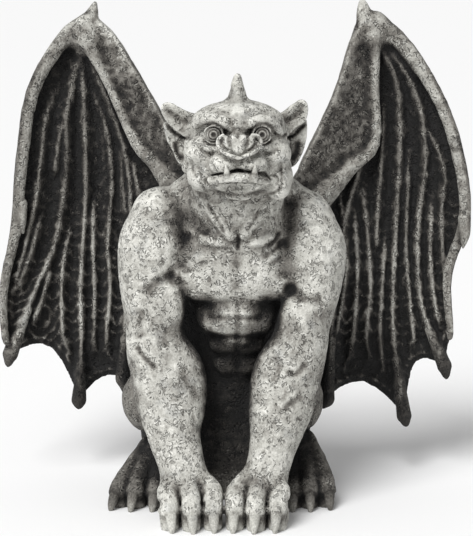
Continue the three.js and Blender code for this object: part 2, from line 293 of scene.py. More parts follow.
@dataclass(frozen=True)
class Limb:
    """A limb or a muscle: oval sections along a smooth line, with rounded ends.

    Attributes:
        stations: rows of x, y, z, half width and, if it isn't round, half depth.
        steps: how many pieces each span is cut into.
        across: the direction that the widths lie along.
    """

    stations: Sequence[Vec]
    steps: int = 4
    across: Vec = (1.0, 0.0, 0.0)

    def parts(self) -> Iterable[Part]:
        """One oval cone for each short piece of the line."""
        rows = np.array([[*s[:4], s[4] if len(s) > 4 else s[3]] for s in self.stations], float)
        rows = catmull(rows, self.steps) if len(rows) > 2 else rows
        for a, b in zip(rows[:-1], rows[1:]):
            yield self.cone(a, b)

    def cone(self, a: Array, b: Array) -> Part:
        """An oval cone between two sections, round at both ends.

        Args:
            a: x, y, z, half width and half depth of one end.
            b: the same of the other end.

        Returns:
            The part.
        """
        step = b[:3] - a[:3]
        length2 = max(float(step @ step), 1e-9)
        tangent = step / math.sqrt(length2)
        side = np.array(self.across, float)
        side = side - tangent * (side @ tangent)
        side /= max(np.linalg.norm(side), 1e-9)
        out = np.cross(tangent, side)
        girth = max(a[3], a[4], b[3], b[4])
        low = np.minimum(a[:3], b[:3]) - girth
        high = np.maximum(a[:3], b[:3]) + girth
        is_round = abs(a[3] - a[4]) + abs(b[3] - b[4]) < 1e-6

        def distance(x: Array, y: Array, z: Array) -> Array:
            """How far points lie outside this part, in mm; negative inside."""
            dx, dy, dz = x - a[0], y - a[1], z - a[2]
            t = np.clip((dx * step[0] + dy * step[1] + dz * step[2]) / length2, 0, 1)
            dx, dy, dz = dx - t * step[0], dy - t * step[1], dz - t * step[2]
            width = a[3] + t * (b[3] - a[3])
            if is_round:
                return np.sqrt(dx * dx + dy * dy + dz * dz) - width
            depth = a[4] + t * (b[4] - a[4])
            cap = np.minimum(width, depth)
            first = second = 0.0
            for axis, size in ((side, width), (out, depth), (tangent, cap)):
                local = (dx * axis[0] + dy * axis[1] + dz * axis[2]) / size
                first = first + local * local
                second = second + (local / size) ** 2
            first = np.sqrt(first)
            return first * (first - 1.0) / np.sqrt(second + 1e-9)

        return Part(low, high, distance)


@dataclass(frozen=True)
class Leaf:
    """A thin leaf standing across the body, such as an ear: an outline with a cupped thickness.

    Attributes:
        outline: its corners in the front view, as x and z; they are joined smoothly.
        y: how far back its middle stands.
        thickness: from its front to its back.
        cup: how far its middle is hollowed back.
        lean: how far back it goes for each mm outwards from `hinge`.
        hinge: the x at which it joins the head.
    """

    outline: Sequence[Vec]
    y: float
    thickness: float
    cup: float = 0.0
    lean: float = 0.0
    hinge: float = 0.0

    def parts(self) -> Iterable[Part]:
        """The single part of the leaf."""
        corners = np.array(self.outline, float)
        ring = catmull(np.vstack([corners, corners[:1]]), 4)[:-1]
        low = np.array([ring[:, 0].min(), self.y - self.thickness, ring[:, 1].min()])
        spread = abs(self.lean) * max(abs(ring[:, 0] - self.hinge)) + abs(self.cup)
        high = np.array([ring[:, 0].max(), self.y + self.thickness + spread, ring[:, 1].max()])
        half = self.thickness / 2

        def distance(x: Array, y: Array, z: Array) -> Array:
            """How far points lie outside this part, in mm; negative inside."""
            edge = polygon_distance(x, z, ring)
            inset = np.clip(-edge / LOBE, 0, 1)
            middle = self.y + self.lean * abs(x - self.hinge) + self.cup * inset
            slab = abs(y - middle) - half
            return -smooth_min(-(edge + half * 0.5), -slab, 2.0) - 0.5

        yield Part(low, high, distance)


@dataclass(frozen=True)
class Stroke:
    """A crease or a raised line, drawn on the clay from in front.

    Attributes:
        points: the line's corners as x and z, in mm; a smooth line is drawn through them.
        width: half the width over which it acts, in mm.
        height: how far it stands out; a crease has a negative one.
        near: the least y at which it acts.
        far: the greatest.
        wash_and_shade: how dark it is painted, from 0 to 1: the wash in it, and painted shade where it is a
            deep crease or a step under a muscle.
        tapered: whether it dies away at its ends.
        closed: whether it is a ring.
    """

    points: Sequence[Vec]
    width: float
    height: float
    near: float
    far: float
    wash_and_shade: float = 0.0
    tapered: bool = True
    closed: bool = False

    def line(self) -> Array:
        """The smooth line through its corners."""
        corners = np.array(self.points, float)
        if self.closed:
            corners = np.vstack([corners, corners[:1]])
        return catmull(corners, 4) if len(corners) > 2 else corners

    def profile(self, u: Array, v: Array) -> Array:
        """How strongly it acts at places on its plane, from 0 to 1."""
        distance, along = line_distance(u, v, self.line())
        strength = bell(distance, self.width)
        if self.tapered and not self.closed:
            strength = strength * smoothstep(0.0, 0.22, along + 0.03) * smoothstep(0.0, 0.22, 1.03 - along)
        return strength


def strokes(near: float, far: float, rows: Iterable[tuple[Sequence[Vec], float, float,
                                                          float]]) -> list[Stroke]:
    """Strokes that act between the same depths, from rows of points, width, height and ink."""
    return [Stroke(points, width, height, near, far, wash_and_shade) for points, width, height, wash_and_shade in rows]


def ring_points(centre: Vec, radius: float, squash: float = 1.0,
                count: int = 10) -> list[tuple[float, float]]:
    """Corners of a ring in the front view."""
    turns = [2 * math.pi * k / count for k in range(count)]
    return [(centre[0] + radius * math.cos(a), centre[1] + radius * squash * math.sin(a)) for a in turns]


# ------------------------------------------------------------------ clay
class Clay:
    """Modelling clay: the distance to its surface, in mm, on a graded grid."""

    def __init__(self, axes: Sequence[Array]) -> None:
        """Takes the grid's three lists of coordinates, in drawing mm."""
        self.axes = [axis.astype(np.float32) for axis in axes]
        self.field = np.full([len(axis) for axis in axes], FAR, np.float32)
        self.strokes: list[Stroke] = []

    def window(self, low: Vec, high: Vec) -> tuple[slice, ...]:
        """The part of the grid between two corners."""
        return tuple(
            slice(int(np.searchsorted(axis, a)), int(np.searchsorted(axis, b, "right")))
            for axis, a, b in zip(self.axes, low, high)
        )

    def coordinates(self, window: tuple[slice, ...]) -> tuple[Array, Array, Array]:
        """The window's coordinates, shaped to broadcast against one another."""
        x, y, z = (axis[part] for axis, part in zip(self.axes, window))
        return x[:, None, None], y[None, :, None], z[None, None, :]

    def cast(self, shape: Shape, reach: float) -> tuple[tuple[slice, ...], Array]:
        """The distance to a shape over the window that it can touch."""
        parts = list(shape.parts())
        low = np.min([part.low for part in parts], axis=0) - reach
        high = np.max([part.high for part in parts], axis=0) + reach
        window = self.window(low, high)
        scratch = np.full(self.field[window].shape, FAR, np.float32)
        for part in parts:
            own = self.window(part.low - reach, part.high + reach)
            inner = tuple(slice(s.start - w.start, s.stop - w.start) for s, w in zip(own, window))
            if scratch[inner].size:
                distance = part.distance(*self.coordinates(own))
                scratch[inner] = np.minimum(scratch[inner], distance)
        return window, scratch

    def press(self, *shapes: Shape, blend: float = 4.0) -> None:
        """Adds shapes, filling the corner where each meets the clay over `blend` mm."""
        for shape in shapes:
            window, distance = self.cast(shape, blend + REACH)
            self.field[window] = smooth_min(self.field[window], distance, blend)

    def carve(self, *shapes: Shape, blend: float = 3.0) -> None:
        """Takes shapes away, rounding the edge of each hollow over `blend` mm."""
        for shape in shapes:
            window, distance = self.cast(shape, blend + REACH)
            self.field[window] = -smooth_min(-self.field[window], distance, blend)

    def draw(self, *strokes: Stroke) -> None:
        """Draws creases and raised lines on the surface."""
        for stroke in strokes:
            line = stroke.line()
            spread = STROKE_SPREAD * stroke.width
            low, high = np.empty(3), np.empty(3)
            low[[ACROSS, UP]] = line.min(axis=0) - spread
            high[[ACROSS, UP]] = line.max(axis=0) + spread
            low[SIGHT], high[SIGHT] = stroke.near, stroke.far
            window = self.window(low, high)
            x, y, z = self.coordinates(window)
            ends = smoothstep(0, STROKE_END, y - stroke.near) * smoothstep(0, STROKE_END, stroke.far - y)
            self.field[window] -= (stroke.height * stroke.profile(x, z) * ends).astype(np.float32)
            self.strokes.append(stroke)

    def cut_ground(self) -> None:
        """Cuts the clay flat at the ground."""
        np.maximum(self.field, -self.axes[2][None, None, :], out=self.field)

    def occupied(self, spacing: float) -> tuple[Array, Array]:
        """Which cells of an even, coarser grid hold clay, as 0 or 1, and that grid's lowest corner."""
        picks = []
        for axis in self.axes:
            even = np.arange(axis[0], axis[-1], spacing)
            picks.append(np.clip(np.searchsorted(axis, even), 0, len(axis) - 1))
        solid = (self.field[np.ix_(*picks)] < 0).astype(np.float32)
        return solid, np.array([axis[0] for axis in self.axes])

    def skin(self) -> tuple[Array, Array]:
        """The surface as a mesh of quads, one vertex for each cell that the surface crosses.

        Returns:
            Vertices in drawing mm, and faces as rows of four vertex numbers.
        """
        inside = self.field < 0
        shape = np.array(self.field.shape)
        cell_shape = tuple(shape - 1)
        count = np.zeros(cell_shape, np.uint8)
        offsets = [(i, j, k) for i in (0, 1) for j in (0, 1) for k in (0, 1)]
        for i, j, k in offsets:
            count += inside[i : i + cell_shape[0], j : j + cell_shape[1], k : k + cell_shape[2]]
        cells = np.argwhere((count > 0) & (count < 8))
        del count
        number = np.full(cell_shape, -1, np.int32)
        number[tuple(cells.T)] = np.arange(len(cells))
        corner = {o: self.field[tuple((cells + o).T)].astype(float) for o in offsets}
        low = np.stack([axis[cells[:, n]] for n, axis in enumerate(self.axes)], axis=1).astype(float)
        high = np.stack([axis[cells[:, n] + 1] for n, axis in enumerate(self.axes)], axis=1).astype(float)
        total = np.zeros((len(cells), 3))
        hits = np.zeros(len(cells))
        for a in offsets:
            for axis in range(3):
                if a[axis]:
                    continue
                b = tuple(v + (n == axis) for n, v in enumerate(a))
                va, vb = corner[a], corner[b]
                crossing = (va < 0) != (vb < 0)
                t = np.where(crossing, va / np.where(crossing, va - vb, 1.0), 0.0)
                place = low + (high - low) * np.array(a, float)
                place[:, axis] = low[:, axis] + (high - low)[:, axis] * t
                total += place * crossing[:, None]
                hits += crossing
        vertices = total / hits[:, None]
        faces = []
        for axis in range(3):
            first = [slice(1, -1)] * 3
            second = [slice(1, -1)] * 3
            first[axis], second[axis] = slice(0, -1), slice(1, None)
            one, two = inside[tuple(first)], inside[tuple(second)]
            edges = np.argwhere(one != two)
            leaving = one[tuple(edges.T)]
            base = edges + 1
            base[:, axis] -= 1
            u, v = (axis + 1) % 3, (axis + 2) % 3
            corners = []
            for du, dv in ((0, 0), (1, 0), (1, 1), (0, 1)):
                cell = base.copy()
                cell[:, u] -= du
                cell[:, v] -= dv
                corners.append(number[tuple(cell.T)])
            quad = np.stack(corners, axis=1)
            quad[~leaving] = quad[~leaving][:, ::-1]
            faces.append(quad)
        return vertices, np.vstack(faces)


def graded(stops: Sequence[tuple[float, float]], end: float) -> Array:
    """Coordinates with a spacing of their own in each stretch.

    Args:
        stops: where each stretch starts and its spacing, in mm.
        end: where the last stretch ends.

    Returns:
        The coordinates, rising.
    """
    values: list[float] = []
    for (start, spacing), (stop, _) in zip(stops, [*stops[1:], (end, 0.0)]):
        count = max(1, round((stop - start) / spacing))
        values.extend(start + (stop - start) * k / count for k in range(count))
    return np.array([*values, end])


# ------------------------------------------------------------------ torso
@dataclass(frozen=True)
class Torso:
    """The trunk, the broad back, the neck and the chest."""

    trunk: Sequence[Vec] = (
        (-9, 38, -12, 50, 58),
        (-9, 38, 30, 54, 58),
        (-7, 38, 72, 46, 51),
        (-3, 30, 112, 35, 45),
        (-1, 14, 145, 30, 44),
        (0, -2, 176, 36, 48),
        (0, -6, 208, 53, 48),
        (0, -10, 236, 56, 42),
        (0, -12, 258, 40, 34),
    )
    back: Sequence[Vec] = (
        (-5, 46, 84, 40, 34),
        (-2, 38, 125, 46, 32),
        (0, 28, 170, 60, 32),
        (0, 20, 212, 66, 36),
        (0, 6, 244, 48, 30),
    )
    neck: Sequence[Vec] = ((0, -16, 232, 42, 36), (1, -32, 262, 40, 36), (1, -42, 290, 37, 34))
    breast_radii: Vec = (37, 13, 29)
    spine_height: float = 3.0

    def model(self, clay: Clay) -> None:
        """Presses the torso into the clay."""
        clay.press(Limb(self.trunk, 5), Limb(self.back, 5), Limb(self.neck, 5), blend=10)
        for side in Side:
            clay.press(
                Lump((side * 21, -40, 204), self.breast_radii, (-4, 0, side * 6)),
                Limb([(side * 20, -18, 284, 12, 14), (side * 40, -14, 260, 18, 20),
                      (side * 60, -16, 238, 20, 22)],
                     3, (0, 0, 1)),
                blend=7,
            )
            self.belly(clay, side)
            self.throat(clay, side)
            self.shoulder_blade(clay, side)
        self.creases(clay)

    def belly(self, clay: Clay, side: Side) -> None:
        """The blocks of the belly, receding under the chest."""
        clay.press(
            Lump((side * 6, -44, 168), (6, 5, 3.5)),
            Lump((side * 14, -34, 156), (14, 7, 8)),
            Lump((side * 12, -22, 137), (11, 6, 8)),
            Lump((side * 9, -15, 118), (9, 6, 8)),
            Lump((side * 25, -18, 162), (9, 20, 18), (0, side * 10, 0)),
            blend=5,
        )

    def throat(self, clay: Clay, side: Side) -> None:
        """The cords of the neck and the hollow beside each."""
        clay.press(
            Limb([(side * 29, -46, 274, 6), (side * 17, -59, 252, 5.5), (side * 5, -58, 234, 4)], 3), blend=4
        )
        hollow = (
            [(-50, -40, 256, 3.4), (-40, -46, 246, 4.4), (-28, -53, 236, 3)]
            if side == LEFT
            else [(47, -38, 258, 4), (46, -46, 246, 5), (42, -50, 234, 3.4)]
        )
        clay.carve(Limb(hollow, 3), blend=9)
        collar = [(side * 6, -54, 230, 2), (side * 16, -55, 229, 3), (side * 28, -50, 231, 3)]
        clay.press(Limb(collar, 3), blend=6)

    def shoulder_blade(self, clay: Clay, side: Side) -> None:
        """The plain muscles of the back round the wing's root."""
        clay.press(Lump((side * 38, 40, 214), (22, 14, 30), (0, side * 16, 0)), blend=8)
        clay.draw(
            Stroke([(side * 9, 236), (side * 7, 180), (side * 8, 120)], 6, -2.0, 20, 110),
            Stroke([(side * 18, 176), (side * 34, 150), (side * 40, 120)], 4, -1.5, 20, 110),
        )

    def creases(self, clay: Clay) -> None:
        """Folds of the chest and belly, seen from in front, and the spine behind."""
        clay.draw(*strokes(-90, 5, [
            ([(0, 224), (0, 205), (0, 184)], 5, -1.4, 0.06),
            ([(1, 238), (1.5, 231), (1, 221)], 1.6, -1.8, 0.35),
            ([(-14, 233), (-5, 228.5), (1, 230), (8, 229), (16, 234)], 2.4, -1.2, 0.14),
            ([(1, 174), (1, 150), (1, 108)], 3.6, -1.6, 0.12),
            ([(-36, 181), (-20, 175), (0, 177.5), (20, 175), (36, 181)], 6.5, -2.6, 0.14),
            ([(-24, 163), (-12, 163), (0, 163.5), (12, 163), (24, 163)], 2.4, -0.8, 0.12),
            ([(-27, 146), (-12, 145), (0, 146), (12, 145), (27, 146)], 3.4, -1.5, 0.16),
            ([(-22, 128), (-10, 127), (0, 127), (10, 127), (22, 128)], 3.4, -1.4, 0.18),
            ([(-41, 236), (-41, 218), (-44, 201)], 6.5, -2.4, 0.10),
            ([(38, 232), (39, 214), (37, 195)], 6.5, -2.8, 0.14),
            ([(24, 222), (32, 229), (37, 236)], 2.0, -1.6, 0.25),
            ([(22, 215), (31, 221), (38, 226)], 2.0, -1.6, 0.25),
            ([(26, 208), (33, 212), (38, 215)], 1.8, -1.2, 0.2),
            ([(-24, 262), (-15, 247), (-9, 236)], 1.6, -1.4, 0.3),
            ([(20, 258), (13, 246), (8, 237)], 1.6, -1.2, 0.2),
        ]))
        knots = np.arange(70, 250, 13.0)
        for z in knots:
            clay.draw(Stroke([(-3, z), (3, z)], 5.0, self.spine_height, 30, 112, tapered=False))


# ------------------------------------------------------------------ head
@dataclass(frozen=True)
class Ear:
    """A torn bat's ear in two layers: a rough upper shell over a smooth lower one."""

    side: Side
    shell: Sequence[Vec]
    lower: Sequence[Vec]

    def model(self, clay: Clay) -> None:
        """Presses the ear into the clay."""
        hinge = self.side * 32.0
        clay.press(Leaf(self.lower, -37, 6, cup=1.5, lean=0.12, hinge=hinge), blend=3)
        clay.press(Leaf(self.shell, -44, 6.5, cup=2.5, lean=0.10, hinge=hinge), blend=2.5)
        root = Limb([(self.side * 34, -46, 320, 8), (self.side * 36, -46, 304, 7),
                     (self.side * 38, -48, 290, 7)], 3)
        clay.press(root, blend=5)


@dataclass(frozen=True)
class Eye:
    """A staring eye: a ball with a ringed iris and a bored pupil, in a deep socket under a lid ring."""

    side: Side
    centre: Vec
    ball: float = 6.2
    lid: float = 7.4
    iris: float = 3.9
    pupil: float = 1.7

    def model(self, clay: Clay) -> None:
        """Sinks the socket and sets the ball and its lid in it."""
        x, y, z = self.centre
        clay.carve(
            Lump((x, y - 5.0, z + 1.0), (10.5, 8.5, 9.5)),
            Lump((x - self.side * 1.0, y - 3.0, z + 5.5), (9.0, 5.5, 5.0)),
            blend=2.0,
        )
        clay.press(Lump((x, y, z), (self.ball, self.ball, self.ball)), blend=0.6)
        ring = [
            (px, y - 3.2 - 0.6 * math.cos((px - x) / self.lid * 1.2), pz, 1.25)
            for px, pz in ring_points((x, z), self.lid, 0.93, 12)
        ]
        clay.press(Limb([*ring, ring[0]], 2), blend=0.8)
        near, far = y - 14, y + 2
        clay.draw(
            Stroke(ring_points((x, z), self.iris), 0.8, -0.9, near, far, wash_and_shade=0.85, closed=True),
            Stroke(ring_points((x, z), self.pupil * 0.35), self.pupil * 0.9, -2.4, near, far, wash_and_shade=1.0,
                   closed=True),
            Stroke(ring_points((x, z), self.ball - 0.1), 0.6, -0.7, near, far, wash_and_shade=0.8, closed=True),
            Stroke(ring_points((x, z + 0.6), self.lid + 2.0, 0.95), 1.2, -1.0, near, y + 6, wash_and_shade=0.75,
                   closed=True),
            Stroke([(x - 8, z + 6.2), (x, z + 9.4), (x + 8, z + 6.2)], 1.6, -1.2, near, y + 6, wash_and_shade=0.6),
        )


@dataclass(frozen=True)
class Head:
    """The horned head with its leaf nose, fangs and two-layered ears."""

    middle: float = 1.0

    def model(self, clay: Clay) -> None:
        """Presses the head into the clay."""
        self.skull(clay)
        for side, centre in EYES.items():
            Eye(side, centre).model(clay)
        self.brows(clay)
        self.nose(clay)
        self.mouth(clay)
        self.ears(clay)
        self.wrinkles(clay)

    def skull(self, clay: Clay) -> None:
        """The cranium, the jaws and the horn."""
        clay.press(
            Lump((2, -50, 313), (40, 38, 31)),
            Lump((1, -60, 330), (36, 27, 13)),
            Lump((2, -60, 291), (41, 34, 24)),
            blend=8,
        )
        clay.press(
            Lump((1, -72, 334), (24, 16, 8)),
            Lump((-10, -90, 297), (13, 13, 9)),
            Lump((12, -90, 297), (13, 13, 9)),
            Lump((1, -82, 278), (19, 13, 7)),
            Lump((-29, -71, 304), (13, 14, 12)),
            Lump((31, -71, 303), (13, 15, 13)),
            Lump((-28, -66, 284), (12, 18, 12)),
            Lump((33, -66, 280), (10, 17, 13)),
            blend=5,
        )
        horn = [(0, -56, 332, 15), (0.4, -56, 341, 10), (0.6, -56, 348, 7.6), (0.5, -55.5, 355, 5.4),
                (0.8, -55, 363.5, 3)]
        clay.press(Limb(horn, 4), blend=4)
        clay.draw(
            Stroke([(-7, 345), (-5, 350), (-4, 357)], 1.6, -0.8, -80, -50, wash_and_shade=0.3),
            Stroke([(7, 344), (5, 350), (3.5, 356)], 1.6, -0.8, -80, -50, wash_and_shade=0.3),
        )

    def brows(self, clay: Clay) -> None:
        """The heavy brows and the folds between them."""
        clay.press(
            Limb([(-33, -74, 326, 3.5), (-28, -81, 331, 4.4), (-19, -87, 332.6, 5), (-11, -91, 330.5, 4.6),
                  (-6, -91, 326, 3.4)], 4),
            Limb([(9, -91, 327, 3.4), (13, -90, 330, 4.6), (21, -88, 331.5, 5), (28, -83, 328, 4.6),
                  (34, -76, 320, 3.8), (36, -70, 312, 3)], 4),
            Lump((1.5, -88, 326), (7, 6, 8)),
            Limb([(-29, -78, 313, 3), (-22, -84, 309.5, 3.4), (-14, -88, 309, 3)], 3),
            Limb([(31, -78, 312, 3), (25, -84, 309, 3.4), (18, -88, 309, 3)], 3),
            blend=3,
        )

    def nose(self, clay: Clay) -> None:
        """The leaf nose: a lobed knob between two curled nostril rims."""
        clay.press(Lump((1, -94, 312), (15, 8, 9)), blend=3)
        clay.press(
            Lump((-8.6, -100.5, 313), (6.4, 4.0, 7.4), (0, 12, 0)),
            Lump((11.6, -100.5, 312.8), (6.8, 4.0, 7.6), (0, -12, 0)),
            Lump((1.3, -101.5, 314), (6.4, 5.4, 7.4)),
            Lump((-2.4, -104.5, 318.0), (3.4, 2.6, 3.2)),
            Lump((5.0, -104.5, 318.0), (3.4, 2.6, 3.2)),
            Lump((1.3, -105.2, 311), (4.4, 3.0, 5.4)),
            blend=2,
        )
        left = [(-10.7, -101, 320.3), (-13.8, -101.5, 318), (-14.8, -102, 314.7), (-13.4, -103, 310.8),
                (-9.7, -104.5, 307.2), (-4.6, -106, 304.8), (0.6, -106.5, 303.4)]
        right = [(12.8, -101, 320.7), (16.5, -101.5, 320.2), (19.1, -102, 316.2), (17.9, -103, 311.8),
                 (13.1, -104.5, 307.6), (7.2, -106, 304.6), (1.1, -106.5, 302.8)]
        for rim in (left, right):
            clay.press(Limb([(*place, 1.55) for place in rim], 3), blend=0.9)
        clay.draw(*strokes(-125, -92, [
            ([(-10.6, 318.6), (-11.6, 314.4), (-8.8, 310.4), (-5.2, 308.2)], 1.25, -3.2, 1.0),
            ([(14.4, 318.6), (15.2, 314.6), (11.8, 310.2), (7.8, 307.8)], 1.25, -3.2, 1.0),
            ([(-5.6, 321), (-6.4, 316), (-4.6, 311)], 1.1, -1.4, 0.5),
            ([(8.6, 321), (9.2, 316), (7.2, 311)], 1.1, -1.4, 0.5),
            ([(1.3, 323), (1.3, 318.5)], 1.0, -1.2, 0.4),
        ]))
        clay.draw(
            Stroke([(-16.5, 307), (-13, 303.6), (-7, 301.2), (1, 300.2), (9, 301), (15, 303.4),
                    (20, 307.6)], 1.8, -1.0, -125, -86, wash_and_shade=0.15),
        )

    def mouth(self, clay: Clay) -> None:
        """The wide mouth, the jutting lower lip and its two fangs."""
        line = [(-19, 285.6), (-14, 288.6), (-9, 289.3), (-3.6, 291.0), (2.4, 291.9), (10.5, 291),
                (16.6, 289.6),
                (22.2, 288.4), (25.4, 283.4)]
        clay.draw(Stroke(line, 1.5, -3.4, -125, -78, wash_and_shade=1.0, tapered=False))
        lip = [(-20, -89, 283.4, 3.4, 4), (-13, -96, 284.8, 3.8, 4.4), (-4, -100, 286.4, 4.2, 4.6),
               (6, -100, 286.6, 4.2, 4.6), (15, -97, 285.2, 3.8, 4.4), (23, -89, 283.2, 3.2, 4)]
        clay.press(Limb(lip, 4, (0, 0, 1)), blend=1.2)
        clay.carve(Lump((1, -97, 275.5), (24, 8.5, 6.2)), blend=3)
        clay.press(Lump((2.6, -80, 270.5), (12, 7.0, 4.4)), blend=4)
        for x, lean in ((-7.0, -1.4), (14.0, 0.8)):
            fang = [(x, -100.5, 285, 3.3, 2.6), (x + lean * 0.4, -103.6, 290.5, 2.6, 2.2),
                    (x + lean, -104.4, 297.2, 0.7)]
            clay.press(Limb(fang, 4), blend=0.5)
        clay.press(Lump((29.5, -78, 281.4), (4.2, 5, 4.4)), blend=1.6)
        clay.carve(Lump((-24, -86, 281.4), (2.6, 5, 3.4), (0, -20, 0)), blend=1.2)
        clay.press(Lump((39, -62, 280), (6, 12, 12), (0, 12, 0)),
                   Lump((34, -70, 272), (8, 10, 6), (0, -20, 0)), blend=5)
        clay.draw(
            Stroke([(24.5, 284.5), (28, 287), (32.5, 285), (33.5, 281), (31, 277.5)], 1.1, -1.2, -105, -62,
                   wash_and_shade=0.45),
            Stroke([(35, 298), (35.5, 290), (36.5, 282), (33, 274), (24, 270.5)], 1.6, -1.8, -110, -55,
                   wash_and_shade=0.4),
            Stroke([(-31, 296), (-28.5, 287), (-28, 279), (-23, 272)], 1.6, -1.4, -110, -55, wash_and_shade=0.22),
            Stroke([(-22, 276), (-10, 272.6), (2, 271), (14, 272.4), (25, 275)], 3.4, -1.4, -112, -70,
                   wash_and_shade=0.85),
        )

    def ears(self, clay: Clay) -> None:
        """Both ears; the left one stands a little higher."""
        Ear(
            LEFT,
            [(-30, 333), (-40, 336), (-54, 343), (-61.5, 341), (-62.4, 333), (-56, 323), (-46, 315),
             (-36, 316), (-28, 322)],
            [(-36, 326), (-50, 325), (-60.5, 325), (-59, 312), (-54.5, 303), (-50, 293), (-43, 287),
             (-36, 293), (-32, 306)],
        ).model(clay)
        Ear(
            RIGHT,
            [(30, 332), (38, 336), (50, 344.6), (57, 344), (59.6, 337), (57.4, 326.4), (50, 320.6),
             (43, 315.6), (33, 318)],
            [(36, 326), (48, 328), (58, 328), (59, 316), (57, 304), (52.6, 294), (46, 287), (39, 292),
             (34, 306)],
        ).model(clay)
        clay.draw(
            Stroke([(-60, 327), (-52, 317.5), (-44, 313), (-38, 314)], 1.4, -1.8, -58, -34, wash_and_shade=0.6),
            Stroke([(58, 325), (51, 318.5), (44, 313.5), (37, 315)], 1.5, -2.2, -58, -32, wash_and_shade=0.7),
            Stroke([(-57, 336), (-46, 328), (-38, 325)], 2.2, -1.3, -60, -36, wash_and_shade=0.2),
            Stroke([(54, 338), (46, 330), (38, 326)], 2.2, -1.3, -60, -36, wash_and_shade=0.2),
            Stroke([(-50, 310), (-48, 300), (-42, 295)], 2.6, -1.6, -58, -30, wash_and_shade=0.22),
            Stroke([(50, 310), (48, 300), (43, 295)], 2.6, -1.6, -58, -30, wash_and_shade=0.35),
        )

    def wrinkles(self, clay: Clay) -> None:
        """Folds of the cheeks, the nose bridge and the forehead."""
        clay.draw(*strokes(-115, -58, [
            ([(-16.5, 308), (-21, 300), (-24.5, 292)], 2.2, -0.8, 0.08),
            ([(21, 309), (25, 302), (27.4, 295), (26, 289)], 2.2, -0.8, 0.08),
            ([(-31, 312), (-26, 305.5), (-18, 303.6)], 1.5, -1.1, 0.2),
            ([(35, 309), (28, 305), (21.5, 304)], 1.5, -1.1, 0.2),
            ([(-8, 322), (-6.5, 327), (-3, 331)], 1.6, -0.7, 0.15),
            ([(10.6, 322), (9, 327), (5.6, 331)], 1.6, -0.7, 0.15),
            ([(-3, 322.4), (1.4, 325), (5.8, 322.4)], 1.5, -1.0, 0.4),
            ([(-6, 325), (1.4, 328), (9, 325)], 4.5, -0.4, 0.35),
            ([(-25, 337), (-13, 338.6), (-3, 335)], 2.0, -1.0, 0.15),
            ([(5, 335.5), (15, 338.4), (27, 335.6)], 2.0, -1.0, 0.15),
            ([(-10, 303), (-4, 297.5), (-3, 293.5)], 1.2, -0.6, 0.12),
            ([(13, 303), (8.5, 298), (7.5, 294)], 1.2, -0.6, 0.12),
            ([(-17, 299), (-17.5, 294), (-14, 291)], 1.2, -0.8, 0.2),
        ]))
        clay.draw(
            Stroke([(29, 322), (35, 317.4), (42, 317)], 1.4, -1.6, -100, -44, wash_and_shade=0.6),
            Stroke([(-14, 281), (-2, 282.5), (10, 282.4), (19, 280.6)], 1.2, -0.8, -110, -80, wash_and_shade=0.4),
            Stroke([(-37, 300), (-35, 291), (-31, 284)], 1.6, -1.0, -90, -40, wash_and_shade=0.2),
        )


# ------------------------------------------------------------------ hands and feet
@dataclass(frozen=True)
class Digit:
    """A finger or toe: a knuckled shaft, a fleshy pad, and a claw standing in a ragged cuff of skin.

    Attributes:
        root: where its bone starts, on the back of the hand or foot.
        knuckle: its highest point near the claw.
        tip: where the claw meets the ground.
        girth: half its width.
    """

    root: Vec
    knuckle: Vec
    tip: Vec
    girth: float

    def model(self, clay: Clay) -> None:
        """Presses the digit into the clay."""
        kx, ky, kz = self.knuckle
        tx, ty, _ = self.tip
        g = self.girth

        def at(share: float, z: float) -> Vec:
            """A place at that share of the way from the knuckle to the tip, and at that height."""
            return (kx + (tx - kx) * share, ky + (ty - ky) * share, z)

        clay.press(
            Limb([(*self.root, g * 0.8), (kx, ky, kz, g), (*at(0.4, kz * 0.8), g * 0.92),
                  (*at(0.52, kz * 0.6), g * 0.95)], 3),
            Limb([(*at(0.3, kz * 0.5), g * 0.95), (*at(0.42, 4), g * 0.9)], 3),
            blend=2.4,
        )
        cuff = [
            (at(0.38, 0)[0] - g * 0.95, at(0.38, 0)[1], kz * 0.52),
            (at(0.5, 0)[0] - g * 0.62, at(0.56, 0)[1], kz * 0.70),
            (at(0.56, 0)[0], at(0.62, 0)[1], kz * 0.86),
            (at(0.5, 0)[0] + g * 0.62, at(0.56, 0)[1], kz * 0.72),
            (at(0.38, 0)[0] + g * 0.95, at(0.38, 0)[1], kz * 0.5),
        ]
        clay.press(Limb([(*place, g * 0.19) for place in cuff], 3), blend=1.4)
        clay.press(
            Limb(
                [
                    (*at(0.5, kz * 0.72), g * 0.58, g * 0.56),
                    (*at(0.72, kz * 0.52), g * 0.56, g * 0.52),
                    (*at(0.9, kz * 0.24), g * 0.42, g * 0.40),
                    (tx, ty + 1.5, 0.0, g * 0.2, g * 0.24),
                ],
                4,
            ),
            blend=0.5,
        )


@dataclass(frozen=True)
class Arm:
    """A straight, muscular arm that props the body up, with a three-clawed hand."""

    side: Side
    line: Sequence[Vec]
    muscles: Sequence[tuple[Vec, Vec, Vec]]
    creases: Sequence[Stroke]
    knuckles: Sequence[Vec]
    tips: Sequence[Vec]
    wrist: Vec
    girth: float = 8.6

    def model(self, clay: Clay) -> None:
        """Presses the arm and its hand into the clay."""
        clay.press(Limb(self.line, 6), blend=5)
        for centre, radii, turn in self.muscles:
            clay.press(Lump(centre, radii, turn), blend=5)
        clay.draw(*self.creases)
        for knuckle, tip in zip(self.knuckles, self.tips):
            root = (
                0.45 * knuckle[0] + 0.55 * self.wrist[0],
                self.wrist[1],
                self.wrist[2],
            )
            Digit(root, knuckle, tip, self.girth).model(clay)


